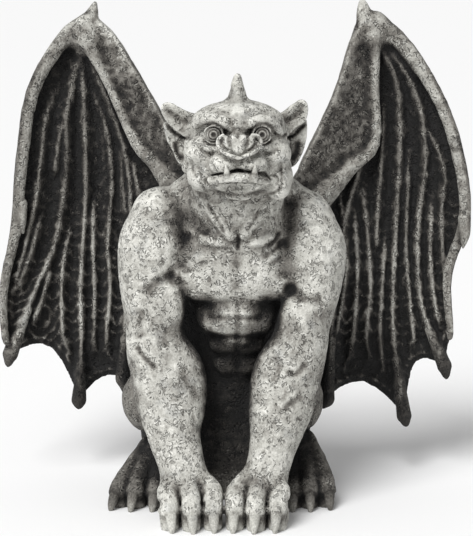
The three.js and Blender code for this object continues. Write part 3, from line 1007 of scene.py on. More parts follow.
def arms() -> list[Arm]:
    """The two arms, which lean inwards by different amounts."""
    front = {"near": -110, "far": -30}
    left = Arm(
        LEFT,
        [(-64, -13, 244, 25, 28), (-70, -19, 218, 29, 33), (-71, -26, 190, 27, 31), (-69, -31, 162, 24, 28),
         (-66, -38, 136, 26, 27), (-57, -44, 114, 31, 27), (-54, -52, 94, 29, 25), (-52, -66, 70, 22, 21),
         (-45, -80, 46, 19, 18), (-41, -88, 26, 22, 13), (-38, -90, 6, 25, 12)],
        [((-68, -22, 220), (29, 30, 31), (0, 0, 0)), ((-60, -44, 172), (17, 15, 28), (0, 4, 0)),
         ((-80, -24, 176), (13, 20, 26), (0, 0, 0)), ((-66, -50, 106), (18, 17, 26), (0, -8, 0)),
         ((-44, -52, 100), (15, 15, 24), (0, 10, 0))],
        [
            Stroke([(-76, 184), (-71, 190), (-64, 196), (-57, 199), (-49, 199)], 5.0, -3.2, **front,
                   wash_and_shade=0.06),
            Stroke([(-84, 143), (-78, 136), (-71, 129), (-64, 124.5)], 2.4, -2.2, **front, wash_and_shade=0.25),
            Stroke([(-46, 128), (-42, 116), (-36, 106), (-32, 96)], 3.4, -1.3, **front, wash_and_shade=0.05),
            Stroke([(-78, 174), (-80, 160), (-77, 148)], 5, -1.4, **front, wash_and_shade=0.1),
        ],
        [(-56, -95, 29), (-38, -98, 30), (-20, -95, 29)],
        [(-52, -118, 0), (-35, -120, 0), (-18, -118, 0)],
        (-42, -84, 42),
    )
    right = Arm(
        RIGHT,
        [(57, -13, 242, 24, 28), (63, -19, 216, 28, 33), (63, -26, 188, 25, 31), (58, -31, 164, 22, 28),
         (52, -38, 138, 24, 27), (42, -44, 114, 29, 27), (37, -52, 90, 27, 25), (32, -66, 68, 21, 21),
         (26, -80, 46, 18, 18), (21, -88, 26, 21, 13), (19, -90, 6, 24, 12)],
        [((62, -22, 216), (28, 30, 31), (0, 0, 0)), ((52, -44, 162), (16, 15, 26), (0, -4, 0)),
         ((68, -26, 172), (12, 20, 24), (0, 0, 0)), ((50, -50, 104), (15, 16, 25), (0, 8, 0)),
         ((30, -52, 98), (14, 15, 24), (0, -10, 0))],
        [
            Stroke([(39, 193), (46, 187), (53, 183), (62, 181), (72, 181.5)], 4.6, -2.8, **front, wash_and_shade=0.06),
            Stroke([(42, 124), (47, 121.4), (52, 123.6), (58, 130)], 2.6, -1.8, **front, wash_and_shade=0.15),
            Stroke([(34, 94), (42, 101), (51, 108)], 2.8, 1.6, **front),
            Stroke([(38, 92), (46, 97.6), (54, 104)], 2.8, -1.0, **front, wash_and_shade=0.06),
            Stroke([(33, 136), (34, 126), (28, 112)], 3.2, -1.2, **front, wash_and_shade=0.05),
        ],
        [(0, -95, 28), (17, -98, 29), (35, -95, 30)],
        [(-3, -118, 0), (14, -120, 0), (31, -118, 0)],
        (22, -84, 42),
    )
    return [left, right]


@dataclass(frozen=True)
class Leg:
    """A folded hind leg: haunch, raised knee, and a three-clawed foot beside the hand."""

    side: Side
    hip: Vec
    knee: Vec
    knee_radii: Vec
    ankle: Vec
    arch: Vec
    knuckles: Sequence[Vec]
    tips: Sequence[Vec]
    haunch_radii: Vec = (32, 44, 42)
    girth: float = 8.2

    def model(self, clay: Clay) -> None:
        """Presses the leg and its foot into the clay."""
        hip, knee, side = self.hip, self.knee, self.side
        middle = ((hip[0] + knee[0]) / 2 + side * 6, (hip[1] + knee[1]) / 2, 72)
        clay.press(
            Lump(hip, self.haunch_radii, (0, 0, side * 20)),
            Limb([(*hip, 36, 32), (*middle, 31, 27), (*knee, 22, 22)], 3, (0, 0, 1)),
            Lump(knee, self.knee_radii),
            blend=8,
        )
        outer = self.knuckles[1]
        clay.press(
            Limb([(*self.ankle, 15, 20), (*self.arch, 18, 17), (outer[0], outer[1] + 6, 6, 23, 13)],
                 3), blend=5
        )
        clay.draw(
            Stroke([(hip[0] + side * 20, 96), (hip[0] + side * 30, 76), (hip[0] + side * 30, 50)], 5, -2.5,
                   -10, 110)
        )
        for knuckle, tip in zip(self.knuckles, self.tips):
            root = (
                0.5 * knuckle[0] + 0.5 * self.ankle[0],
                self.ankle[1] - 8,
                self.ankle[2] + 6,
            )
            clay.press(Limb([(*root, 6.5), (*knuckle, 7.5)], 2), blend=2.5)
            Digit(root, knuckle, tip, self.girth).model(clay)


def legs() -> list[Leg]:
    """The two hind legs."""
    return [
        Leg(LEFT, (-48, 52, 40), (-60, 6, 82), (39, 34, 34), (-58, 8, 38), (-76, -12, 26),
            [(-94, -28, 22), (-82, -31, 24), (-66, -30, 22)], [(-106, -54, 0), (-89, -58, 0), (-71, -58, 0)]),
        Leg(RIGHT, (28, 52, 40), (41, 6, 82), (34, 34, 34), (48, 4, 44), (60, -12, 30),
            [(73, -28, 25), (61, -31, 25), (48, -30, 22)], [(79, -53, 0), (62, -58, 0), (47, -58, 0)]),
    ]


# ------------------------------------------------------------------ wings
WING_NAMES = ("leading", "second", "third", "fourth", "flank")


@dataclass(frozen=True)
class Wing:
    """A raised bat wing: a cupped, folded web between finger bones, drawn as seen from in front.

    The curves run from the wrist to the trailing edge, as x and z. How far back each place lies comes
    from `depth`.
    """

    side: Side
    curves: dict[str, Sequence[Vec]]
    fore_edge: Sequence[Vec]
    arm: Sequence[Vec]
    claws: dict[str, Vec]
    arm_radii: Sequence[float]
    crown: tuple[Vec, Vec, float]
    arches: Sequence[float]
    folds: Sequence[Sequence[Vec]]
    hood: Sequence[Vec]
    root_x: float = 40.0
    root_y: float = 30.0
    cup: float = 44.0
    reach: float = 168.0
    thickness: float = 9.0
    finger_ridge: float = 5.0
    fold_ridge: float = 3.6
    sag: float = 5.0
    panel_rise: float = 8.0
    bevel: float = 6.0
    finger_width: float = 4.6
    finger_taper: float = 1.4
    fold_width: float = 3.0
    valley_width: float = 7.0
    ripple_spacing: float = 9.0
    ripple_height: float = 1.15
    bone_rise: float = 3.6
    bone_width: float = 6.0
    elbow: float = 245.0  # height at which the bones' wash changes
    bone_wash: tuple[float, float] = (0.36, 0.28)  # below that height and above it
    back_wash: float = 0.32

    def depth(self, x: Array, z: Array) -> Array:
        """How far back the wing's sheet lies at a place in the front view."""
        span = np.clip((abs(x) - self.root_x) / self.reach, 0, 1)
        return self.root_y + self.cup * np.sin(0.9 * math.pi * span) + (z - 230) * 0.06

    def line(self, name: str) -> Array:
        """One of the wing's curves, smooth."""
        return catmull(np.array(self.curves[name], float), 5)

    def between(self, index: int, share: float) -> Array:
        """The curve that lies between two neighbouring ones, cut short where the edge is scalloped."""
        a, b = self.line(WING_NAMES[index]), self.line(WING_NAMES[index + 1])
        count = 24
        reach = np.linspace(0, 1, count) * (1 - self.arches[index] * math.sin(math.pi * share))

        def at(line: Array) -> Array:
            """The line at the shares of its length that this curve keeps."""
            run = np.linspace(0, 1, len(line))
            return np.stack([np.interp(reach, run, line[:, n]) for n in range(2)], axis=1)

        return at(a) * (1 - share) + at(b) * share

    def trailing(self) -> Array:
        """The scalloped lower edge, from the leading edge inwards."""
        places = []
        for index in range(len(WING_NAMES) - 1):
            places += [self.between(index, share)[-1] for share in np.linspace(0, 1, 7)[:-1]]
        places.append(self.line("flank")[-1])
        return np.array(places)

    def outline(self) -> Array:
        """The whole web's outline."""
        return np.vstack([self.line("leading"), self.trailing(), self.line("flank")[::-1]])

    def panel(self) -> Array:
        """The outline of the rough fore panel between the arm bone and the neck."""
        arm = catmull(np.array(self.arm, float), 4)
        edge = catmull(np.array(self.fore_edge, float), 4)
        return np.vstack([arm, edge[::-1]])

    def relief(self, x: Array, z: Array) -> tuple[Array, Array]:
        """How far the front stands out of the plain sheet, and how dark the wash in it is, with painted shade
        and highlight at its trailing edge.

        Args:
            x: places in the front view, in mm.
            z: their heights; broadcasts with x.

        Returns:
            The height towards the front in mm, and the wash from 0 to 1.
        """
        shape = np.broadcast(x, z).shape
        nearest = np.full(shape, 1e3)
        ridges = np.zeros(shape)
        crest = np.zeros(shape)
        for name in WING_NAMES:
            distance, along = line_distance(x, z, self.line(name))
            nearest = np.minimum(nearest, distance)
            slack = smoothstep(0.0, 0.12, along)
            ridge = bell(distance, self.finger_width - self.finger_taper * along) * (0.35 + 0.65 * slack)
            ridges = np.maximum(ridges, ridge * self.finger_ridge)
            crest = np.maximum(crest, bell(distance, 2.6) * (0.5 + 0.5 * slack))
        for fold in self.folds:
            distance, along = line_distance(x, z, catmull(np.array(fold, float), 4))
            life = smoothstep(0.0, 0.18, along) * smoothstep(0.0, 0.15, 1.03 - along)
            nearest = np.minimum(nearest, distance + 4 * (1 - life))
            ridges = np.maximum(ridges, bell(distance, self.fold_width) * self.fold_ridge * life)
            crest = np.maximum(crest, bell(distance, 1.8) * 0.8 * life)
        valley = 1 - bell(nearest, self.valley_width)
        low = 1 - smoothstep(110, 330, z)
        places = np.stack(np.broadcast_arrays(x, z), axis=-1)
        waver = lattice_noise(places, 15.0, 3) * 5.0 + lattice_noise(places, 6.0, 4) * 1.6
        phase = 2 * math.pi * (z * 0.80 + nearest * 0.95 + waver) / self.ripple_spacing
        scallop = 1 - np.abs(np.sin(phase / 2)) * 2
        ripple = scallop * (0.2 + 0.8 * low) * smoothstep(1.0, 4.5, nearest)
        fibre = lattice_noise(places / np.array([3.2, 17.0]), 1.0, 5)
        fibre = fibre + 0.6 * lattice_noise(places / np.array([2.0, 9.0]), 1.0, 6)
        crumple = lattice_noise(places, 5.0, 7) * 0.6
        height = ridges - self.sag * valley + self.ripple_height * ripple
        height = height + (0.45 * fibre + crumple) * smoothstep(0.5, 3.5, nearest)
        fade = 0.75 + 0.25 * lattice_noise(places, 24.0, 10)
        lit = crest * (0.16 + 0.24 * low) * fade + 0.16 * np.clip(ripple, -1, 1) * low
        lit = lit + 0.10 * fibre + 0.08 * crumple
        wash = np.clip(0.84 - 0.22 * low - lit, 0.1, 1)

        panel = smoothstep(-5.0, 3.0, -polygon_distance(x, z, self.panel()))
        hood = smoothstep(-4.0, 4.0, -polygon_distance(x, z, catmull(np.array(self.hood, float), 3)))
        cover = np.maximum(panel, hood)
        rough = lattice_noise(places, 9.0, 8) * 0.6 + lattice_noise(places, 4.0, 9) * 0.5
        height = height * (1 - cover) + (self.panel_rise + rough) * cover
        wash = wash * (1 - cover) + (0.50 - 0.28 * hood) * cover

        edge, _ = line_distance(x, z, self.trailing())
        # Painted highlight: a pale line just inside the trailing edge, where it would catch the light.
        rim = bell(edge - self.bevel - 1.2, 1.8) * (1 - cover)
        height = height * smoothstep(0.0, self.bevel + 5.0, edge + 2.5)
        height = height + 1.4 * rim - np.clip(self.bevel - edge, 0, self.bevel) * 1.0
        wash = np.clip(wash - 0.26 * rim, 0, 1)
        # Painted shade: the bevel of the trailing edge, which faces down into shadow, is kept dark.
        wash = np.where(edge < self.bevel - 1.0, np.maximum(wash, 0.66), wash)
        return height, wash

    def bones(self, x: Array, z: Array) -> Array:
        """How far the finger bones stand out at the back."""
        shape = np.broadcast(x, z).shape
        height = np.zeros(shape)
        for name in WING_NAMES[1:4]:
            distance, along = line_distance(x, z, self.line(name))
            height = np.maximum(height, self.bone_rise * bell(distance, self.bone_width) * (1 - 0.5 * along))
        return height

    def parts(self) -> Iterable[Part]:
        """The web as one part."""
        ring = self.outline()
        whole = np.vstack([ring, self.panel()])
        low = np.array([whole[:, 0].min(), self.root_y - 24, whole[:, 1].min()])
        high = np.array([whole[:, 0].max(), self.root_y + self.cup + 28, whole[:, 1].max()])

        def distance(x: Array, y: Array, z: Array) -> Array:
            """How far points lie outside this part, in mm; negative inside."""
            flat_x, flat_z = x[:, :, 0], z[:, 0, :]
            height, _ = self.relief(flat_x.astype(float), flat_z.astype(float))
            depth = self.depth(flat_x, flat_z)
            front = depth - height
            rear = depth + self.thickness + self.bones(flat_x, flat_z)
            edge = np.minimum(
                polygon_distance(flat_x, flat_z, ring), polygon_distance(flat_x, flat_z, self.panel())
            )
            slope_x, slope_z = np.gradient(front, flat_x[:, 0], flat_z[0])
            steep = np.sqrt(1 + slope_x**2 + slope_z**2)
            faces = np.maximum((front[:, None, :] - y) / steep[:, None, :], y - rear[:, None, :])
            return -smooth_min(-faces, -edge[:, None, :], 2.0)

        yield Part(low, high, distance)

    def place(self, point: Vec, forward: float) -> tuple[float, float, float]:
        """A place of the front view, that far in front of the sheet."""
        return (point[0], float(self.depth(point[0], point[1])) - forward, point[1])

    def model(self, clay: Clay) -> None:
        """Presses the wing into the clay."""
        clay.press(self, blend=6)
        lead = [
            (*self.place((p[0] - self.side * 0.8 * r, p[1]), 3), r)
            for p, r in zip(self.curves["leading"], (7, 6.4, 5.4, 5, 4.6, 3.4, 2.6))
        ]
        arm = [(*self.place(p, f), r) for p, r, f in zip(self.arm, self.arm_radii, (8, 9, 9, 8, 7, 6))]
        wrist = self.arm[0]
        clay.press(Limb(lead, 4), Limb(arm, 4), blend=5)
        clay.press(Lump(self.place((wrist[0], wrist[1] + 2), -2), (15, 13, 18)), blend=6)
        root, tip, radius = self.crown
        middle = ((root[0] + tip[0]) / 2 - self.side * 1.0, (root[1] + tip[1]) / 2)
        clay.press(
            Limb([(*self.place(root, 1), radius), (*self.place(middle, 1), radius * 0.68),
                  (*self.place(tip, 0), 2.2)], 4),
            blend=2.5,
        )
        self.spurs(clay)

    def spurs(self, clay: Clay) -> None:
        """The claws that end the fingers, each in a small cuff, and the thumb claw on the leading edge."""
        for name in ("second", "third", "fourth"):
            line = self.line(name)
            end, tip = np.array(self.curves[name][-1], float), np.array(self.claws[name], float)
            start = line[int(len(line) * 0.88)]
            cuff = end + (end - tip) * 0.15
            clay.press(Limb([(*self.place(start, 2), 3.4), (*self.place(end, 0), 6.8)], 4), blend=4)
            clay.press(
                Limb([(*self.place(cuff, 1.5), 6.0), (*self.place(end * 0.45 + tip * 0.55, 1.5), 4.2),
                      (*self.place(tip, 0.5), 1.3)], 5),
                blend=0.8,
            )
        x, z = self.claws["leading"]
        clay.press(
            Limb([(*self.place((x, z + 13), 4), 5.4), (*self.place((x, z), 6), 4.6),
                  (*self.place((x - self.side * 1.5, z - 12), 6.5), 1.5)], 5),
            blend=1.5,
        )


def wings() -> list[Wing]:
    """The two wings, which are folded a little differently."""
    left = Wing(
        LEFT,
        {
            "leading": [(-137, 402), (-156, 389), (-182, 342), (-192, 275), (-196, 225), (-206, 170),
                        (-204, 126)],
            "second": [(-138, 372), (-149, 322), (-150, 275), (-159, 214), (-176, 172), (-199, 114)],
            "third": [(-137, 372), (-134, 330), (-133, 257), (-138, 178), (-138, 122), (-141, 68)],
            "fourth": [(-129, 372), (-112, 332), (-97, 284), (-93, 225), (-98, 150), (-101, 88)],
            "flank": [(-124, 384), (-104, 344), (-78, 292), (-50, 236), (-36, 180), (-34, 122)],
        },
        [(-121, 405), (-108, 394), (-96, 377), (-77, 346), (-63, 322), (-48, 292), (-34, 262)],
        [(-132, 388), (-112, 350), (-88, 300), (-70, 282), (-52, 262), (-36, 244)],
        {"second": (-201, 104), "third": (-141, 61), "fourth": (-95, 70), "leading": (-188, 233)},
        (6, 4, 5, 7, 12, 16),
        ((-132, 398), (-124, 419), 9.0),
        (0, 0.08, 0.03, 0),
        [
            [(-126, 340), (-115, 312), (-110, 271), (-112, 234), (-114, 203), (-112, 169), (-116, 117),
             (-106, 100)],
            [(-148, 222), (-154, 186), (-155, 155), (-154, 127), (-147, 107)],
            [(-160, 340), (-167, 318), (-172, 279), (-176, 248), (-184, 214), (-195, 171)],
            [(-148, 330), (-156, 300), (-160, 270)],
            [(-126, 250), (-127, 210), (-126, 160), (-128, 110)],
            [(-172, 236), (-180, 205), (-192, 172)],
            [(-100, 240), (-86, 200), (-80, 160), (-84, 118)],
            [(-92, 284), (-86, 256), (-78, 226)],
            [(-102, 300), (-100, 262), (-97, 230)],
            [(-164, 190), (-172, 160), (-180, 140)],
        ],
        [(-183, 352), (-177, 362), (-165, 375), (-153, 380), (-139, 382), (-124, 376), (-112, 356),
         (-90, 360),
         (-104, 396), (-120, 412), (-150, 406), (-178, 376), (-183, 352)],
    )
    right = Wing(
        RIGHT,
        {
            "leading": [(128, 404), (153, 382), (183, 332), (199, 278), (202, 232), (188, 184), (190, 128)],
            "second": [(126, 390), (155, 346), (166, 290), (160, 220), (164, 155), (184, 102)],
            "third": [(122, 390), (140, 352), (144, 300), (142, 240), (139, 140), (150, 54)],
            "fourth": [(118, 388), (119, 330), (108, 275), (97, 235), (86, 160), (80, 72)],
            "flank": [(116, 388), (102, 340), (76, 288), (46, 236), (30, 180), (26, 122)],
        },
        [(110, 407), (99, 387), (89, 354), (77, 325), (60, 292), (50, 272), (36, 252)],
        [(120, 392), (121, 345), (121, 298), (98, 276), (74, 254), (48, 236)],
        {"second": (186, 91), "third": (152, 45), "fourth": (75, 66), "leading": (199, 221)},
        (6, 4, 5, 7, 12, 16),
        ((115, 400), (110, 422), 10.0),
        (0, 0.07, 0.045, 0),
        [
            [(150, 330), (171, 303), (182, 272), (180, 236), (182, 194), (188, 161), (192, 141)],
            [(130, 330), (128, 281), (125, 234), (124, 200)],
            [(111, 262), (117, 207), (119, 166), (116, 125), (121, 100)],
            [(90, 262), (97, 207), (95, 167), (86, 120), (80, 92)],
            [(152, 290), (151, 247), (150, 203), (154, 159), (159, 114)],
            [(104, 240), (107, 195), (106, 150), (101, 106)],
            [(172, 250), (171, 205), (174, 165), (180, 135)],
            [(132, 220), (130, 180), (128, 130), (132, 90)],
            [(84, 232), (80, 190), (70, 150), (66, 118)],
        ],
        [(104, 398), (118, 384), (132, 384), (146, 372), (160, 356), (166, 366), (148, 392), (126, 410),
         (108, 414),
         (104, 398)],
    )
    return [left, right]


# ------------------------------------------------------------------ skin
KNOBS = ((0.34, 7.5, 21), (0.20, 3.6, 22))  # height and size in mm of each kind of knob, and its pattern
PIT_DEPTH = 0.30
PIT_SIZE = 4.4
SMOOTHING = 0.85  # how much of the roughness a smooth place loses
SOLE = 0.5  # everything lower than this is laid flat on the ground


@dataclass(frozen=True)
class SkinWork:
    """How the clay's surface becomes the cast skin, in drawing mm."""

    coarse: float = 1.5  # spacing of the grid where the form is plain
    fine: float = 0.75  # its spacing at the face, the hands and the feet
    most_triangles: int = 196_000
    shade_cell: float = 3.0  # cells in which the stone around a place is counted

    def grid(self) -> list[Array]:
        """The grid, finest round the face and the claws."""
        c, f = self.coarse, self.fine
        return [
            graded([(-215, c), (-68, f), (68, c)], 214),
            graded([(-131, f), (-15, c)], 112),
            graded([(-4.5, c), (0, f), (36, c), (262, f), (372, c)], 429),
        ]


@dataclass
class Skin:
    """The skin of the whole figure, as a mesh in drawing mm.

    Attributes:
        vertices: N by 3 places.
        faces: rows of three or four vertex numbers.
    """

    vertices: Array
    faces: Array

    def to_mesh(self, name: str) -> bpy.types.Mesh:
        """A Blender mesh of the skin, in the row frame."""
        mesh = bpy.data.meshes.new(name)
        sides = self.faces.shape[1]
        mesh.vertices.add(len(self.vertices))
        mesh.vertices.foreach_set("co", DRAWING.to_row(self.vertices).astype(np.float32).ravel())
        mesh.loops.add(self.faces.size)
        mesh.loops.foreach_set("vertex_index", self.faces.astype(np.int32).ravel())
        mesh.polygons.add(len(self.faces))
        mesh.polygons.foreach_set("loop_start", np.arange(0, self.faces.size, sides, dtype=np.int32))
        mesh.update(calc_edges=True)
        mesh.validate()
        return mesh

    def thinned(self, most: int) -> "Skin":
        """The same skin with fewer triangles where it is plain.

        Args:
            most: how many triangles it may have.

        Returns:
            A skin of triangles.
        """
        mesh = self.to_mesh("raw")
        raw = bpy.data.objects.new("raw", mesh)
        bpy.context.scene.collection.objects.link(raw)
        modifier = raw.modifiers.new("thin", "DECIMATE")
        modifier.ratio = min(1.0, most / (len(self.faces) * 2))
        modifier.use_collapse_triangulate = True
        depsgraph = bpy.context.evaluated_depsgraph_get()
        slim = bpy.data.meshes.new_from_object(raw.evaluated_get(depsgraph))
        places = np.empty(len(slim.vertices) * 3, np.float32)
        slim.vertices.foreach_get("co", places)
        slim.calc_loop_triangles()
        faces = np.empty(len(slim.loop_triangles) * 3, np.int32)
        slim.loop_triangles.foreach_get("vertices", faces)
        bpy.data.objects.remove(raw)
        bpy.data.meshes.remove(mesh)
        bpy.data.meshes.remove(slim)
        shift = np.array([DRAWING.middle[0], DRAWING.middle[1], 0.0])
        return Skin(places.reshape(-1, 3).astype(float) / DRAWING.scale + shift, faces.reshape(-1, 3))

    def whole(self) -> "Skin":
        """The largest connected piece alone, without specks inside or beside it."""
        label = np.arange(len(self.vertices))
        edges = np.vstack([self.faces[:, [0, 1]], self.faces[:, [1, 2]], self.faces[:, [2, 0]]])
        while True:
            least = np.minimum(label[edges[:, 0]], label[edges[:, 1]])
            fresh = label.copy()
            np.minimum.at(fresh, edges[:, 0], least)
            np.minimum.at(fresh, edges[:, 1], least)
            fresh = fresh[fresh]
            if (fresh == label).all():
                break
            label = fresh
        names, counts = np.unique(label, return_counts=True)
        keep = label == names[counts.argmax()]
        number = np.cumsum(keep) - 1
        faces = self.faces[keep[self.faces[:, 0]]]
        return Skin(self.vertices[keep], number[faces])

    def normals(self) -> Array:
        """The outward direction at each vertex."""
        a, b, c = (self.vertices[self.faces[:, n]] for n in range(3))
        area = np.cross(b - a, c - a)
        total = np.zeros_like(self.vertices)
        for corner in range(3):
            for axis in range(3):
                total[:, axis] += np.bincount(self.faces[:, corner], area[:, axis], len(self.vertices))
        return total / np.maximum(np.linalg.norm(total, axis=1, keepdims=True), 1e-12)

    def averaged(self, values: Array, rounds: int) -> Array:
        """Values smoothed over neighbouring vertices.

        Args:
            values: one row for each vertex.
            rounds: how many times they are smoothed.

        Returns:
            The smoothed values.
        """
        count = len(self.vertices)
        edges = np.vstack([self.faces[:, [0, 1]], self.faces[:, [1, 2]], self.faces[:, [2, 0]]])
        weight = np.bincount(edges[:, 0], minlength=count) + np.bincount(edges[:, 1], minlength=count)
        rows = values if values.ndim == 2 else values[:, None]
        rows = rows.astype(float)
        for _ in range(rounds):
            fresh = np.empty_like(rows)
            for axis in range(rows.shape[1]):
                fresh[:, axis] = np.bincount(edges[:, 0], rows[edges[:, 1], axis], count)
                fresh[:, axis] += np.bincount(edges[:, 1], rows[edges[:, 0], axis], count)
            rows = 0.5 * rows + 0.5 * fresh / weight[:, None]
        return rows if values.ndim == 2 else rows[:, 0]

    def roughened(self, smooth: Array) -> "Skin":
        """The skin with the knobs and pits of hand-worked stone.

        Args:
            smooth: from 0, rough, to 1, smooth as a claw, for each vertex.

        Returns:
            The skin with its vertices moved along their normals.
        """
        knobs = sum(h * lattice_noise(self.vertices, cell, seed) for h, cell, seed in KNOBS)
        pits = -PIT_DEPTH * smoothstep(0.25, 0.7, lattice_noise(self.vertices, PIT_SIZE, 23))
        move = (knobs + pits) * (1 - SMOOTHING * smooth)
        ground = smoothstep(0.0, 4.0, self.vertices[:, UP])
        moved = self.vertices + self.normals() * (move * ground)[:, None]
        moved[:, UP] = np.where(moved[:, UP] < SOLE, 0.0, moved[:, UP])
        return Skin(moved, self.faces)

    def hollows(self, rounds: int) -> Array:
        """How far each vertex lies under the smoothed skin, in mm; crests are negative."""
        drift = self.averaged(self.vertices, rounds) - self.vertices
        return (drift * self.normals()).sum(axis=1)


def blurred(solid: Array, cells: int) -> Array:
    """A block of values averaged over a box of 2 * cells + 1 cells, twice."""
    for _ in range(2):
        for axis in range(3):
            padding = [(0, 0)] * 3
            padding[axis] = (cells + 1, cells)
            run = np.cumsum(np.pad(solid, padding), axis=axis)
            width = 2 * cells + 1
            ahead = [slice(None)] * 3
            behind = [slice(None)] * 3
            ahead[axis], behind[axis] = slice(width, None), slice(0, -width)
            solid = (run[tuple(ahead)] - run[tuple(behind)]) / width
    return solid


def sampled(block: Array, low: Array, spacing: float, points: Array) -> Array:
    """Values of an even grid at points, interpolated.

    Args:
        block: the grid's values.
        low: its lowest corner, in mm.
        spacing: its spacing, in mm.
        points: N by 3 points, in mm.

    Returns:
        One value for each point.
    """
    place = np.clip((points - low) / spacing, 0, np.array(block.shape) - 1.001)
    cell = place.astype(int)
    t = place - cell
    total = np.zeros(len(points))
    for i in (0, 1):
        for j in (0, 1):
            for k in (0, 1):
                weight = 1.0
                for axis, bit in enumerate((i, j, k)):
                    weight = weight * (t[:, axis] if bit else 1 - t[:, axis])
                total += weight * block[cell[:, 0] + i, cell[:, 1] + j, cell[:, 2] + k]
    return total


# ------------------------------------------------------------------ finishes
def linear(colour: str) -> tuple[float, float, float, float]:
    """An sRGB hex colour as linear red, green, blue and alpha."""
    values = [int(colour.lstrip("#")[i : i + 2], 16) / 255 for i in (0, 2, 4)]
    return (*[v / 12.92 if v <= 0.04045 else ((v + 0.055) / 1.055) ** 2.4 for v in values], 1.0)


def per_metre(millimetres: float) -> float:
    """A texture's scale for a feature of that real size, on coordinates in metres."""
    return 1000.0 / millimetres


Socket = bpy.types.NodeSocket


def add(tree: bpy.types.NodeTree, kind: str, settings: dict | None = None,
        links: dict | None = None) -> bpy.types.Node:
    """Adds a node with its settings and links.

    Args:
        tree: the node tree.
        kind: the node's type, without its ShaderNode prefix.
        settings: properties by name, or input values by input name or number.
        links: output sockets by the name or number of the input that they feed.

    Returns:
        The node.
    """
    node = tree.nodes.new("ShaderNode" + kind)
    for key, value in (settings or {}).items():
        if isinstance(key, str) and hasattr(node, key):
            setattr(node, key, value)
        else:
            node.inputs[key].default_value = value
    for key, socket in (links or {}).items():
        tree.links.new(socket, node.inputs[key])
    return node


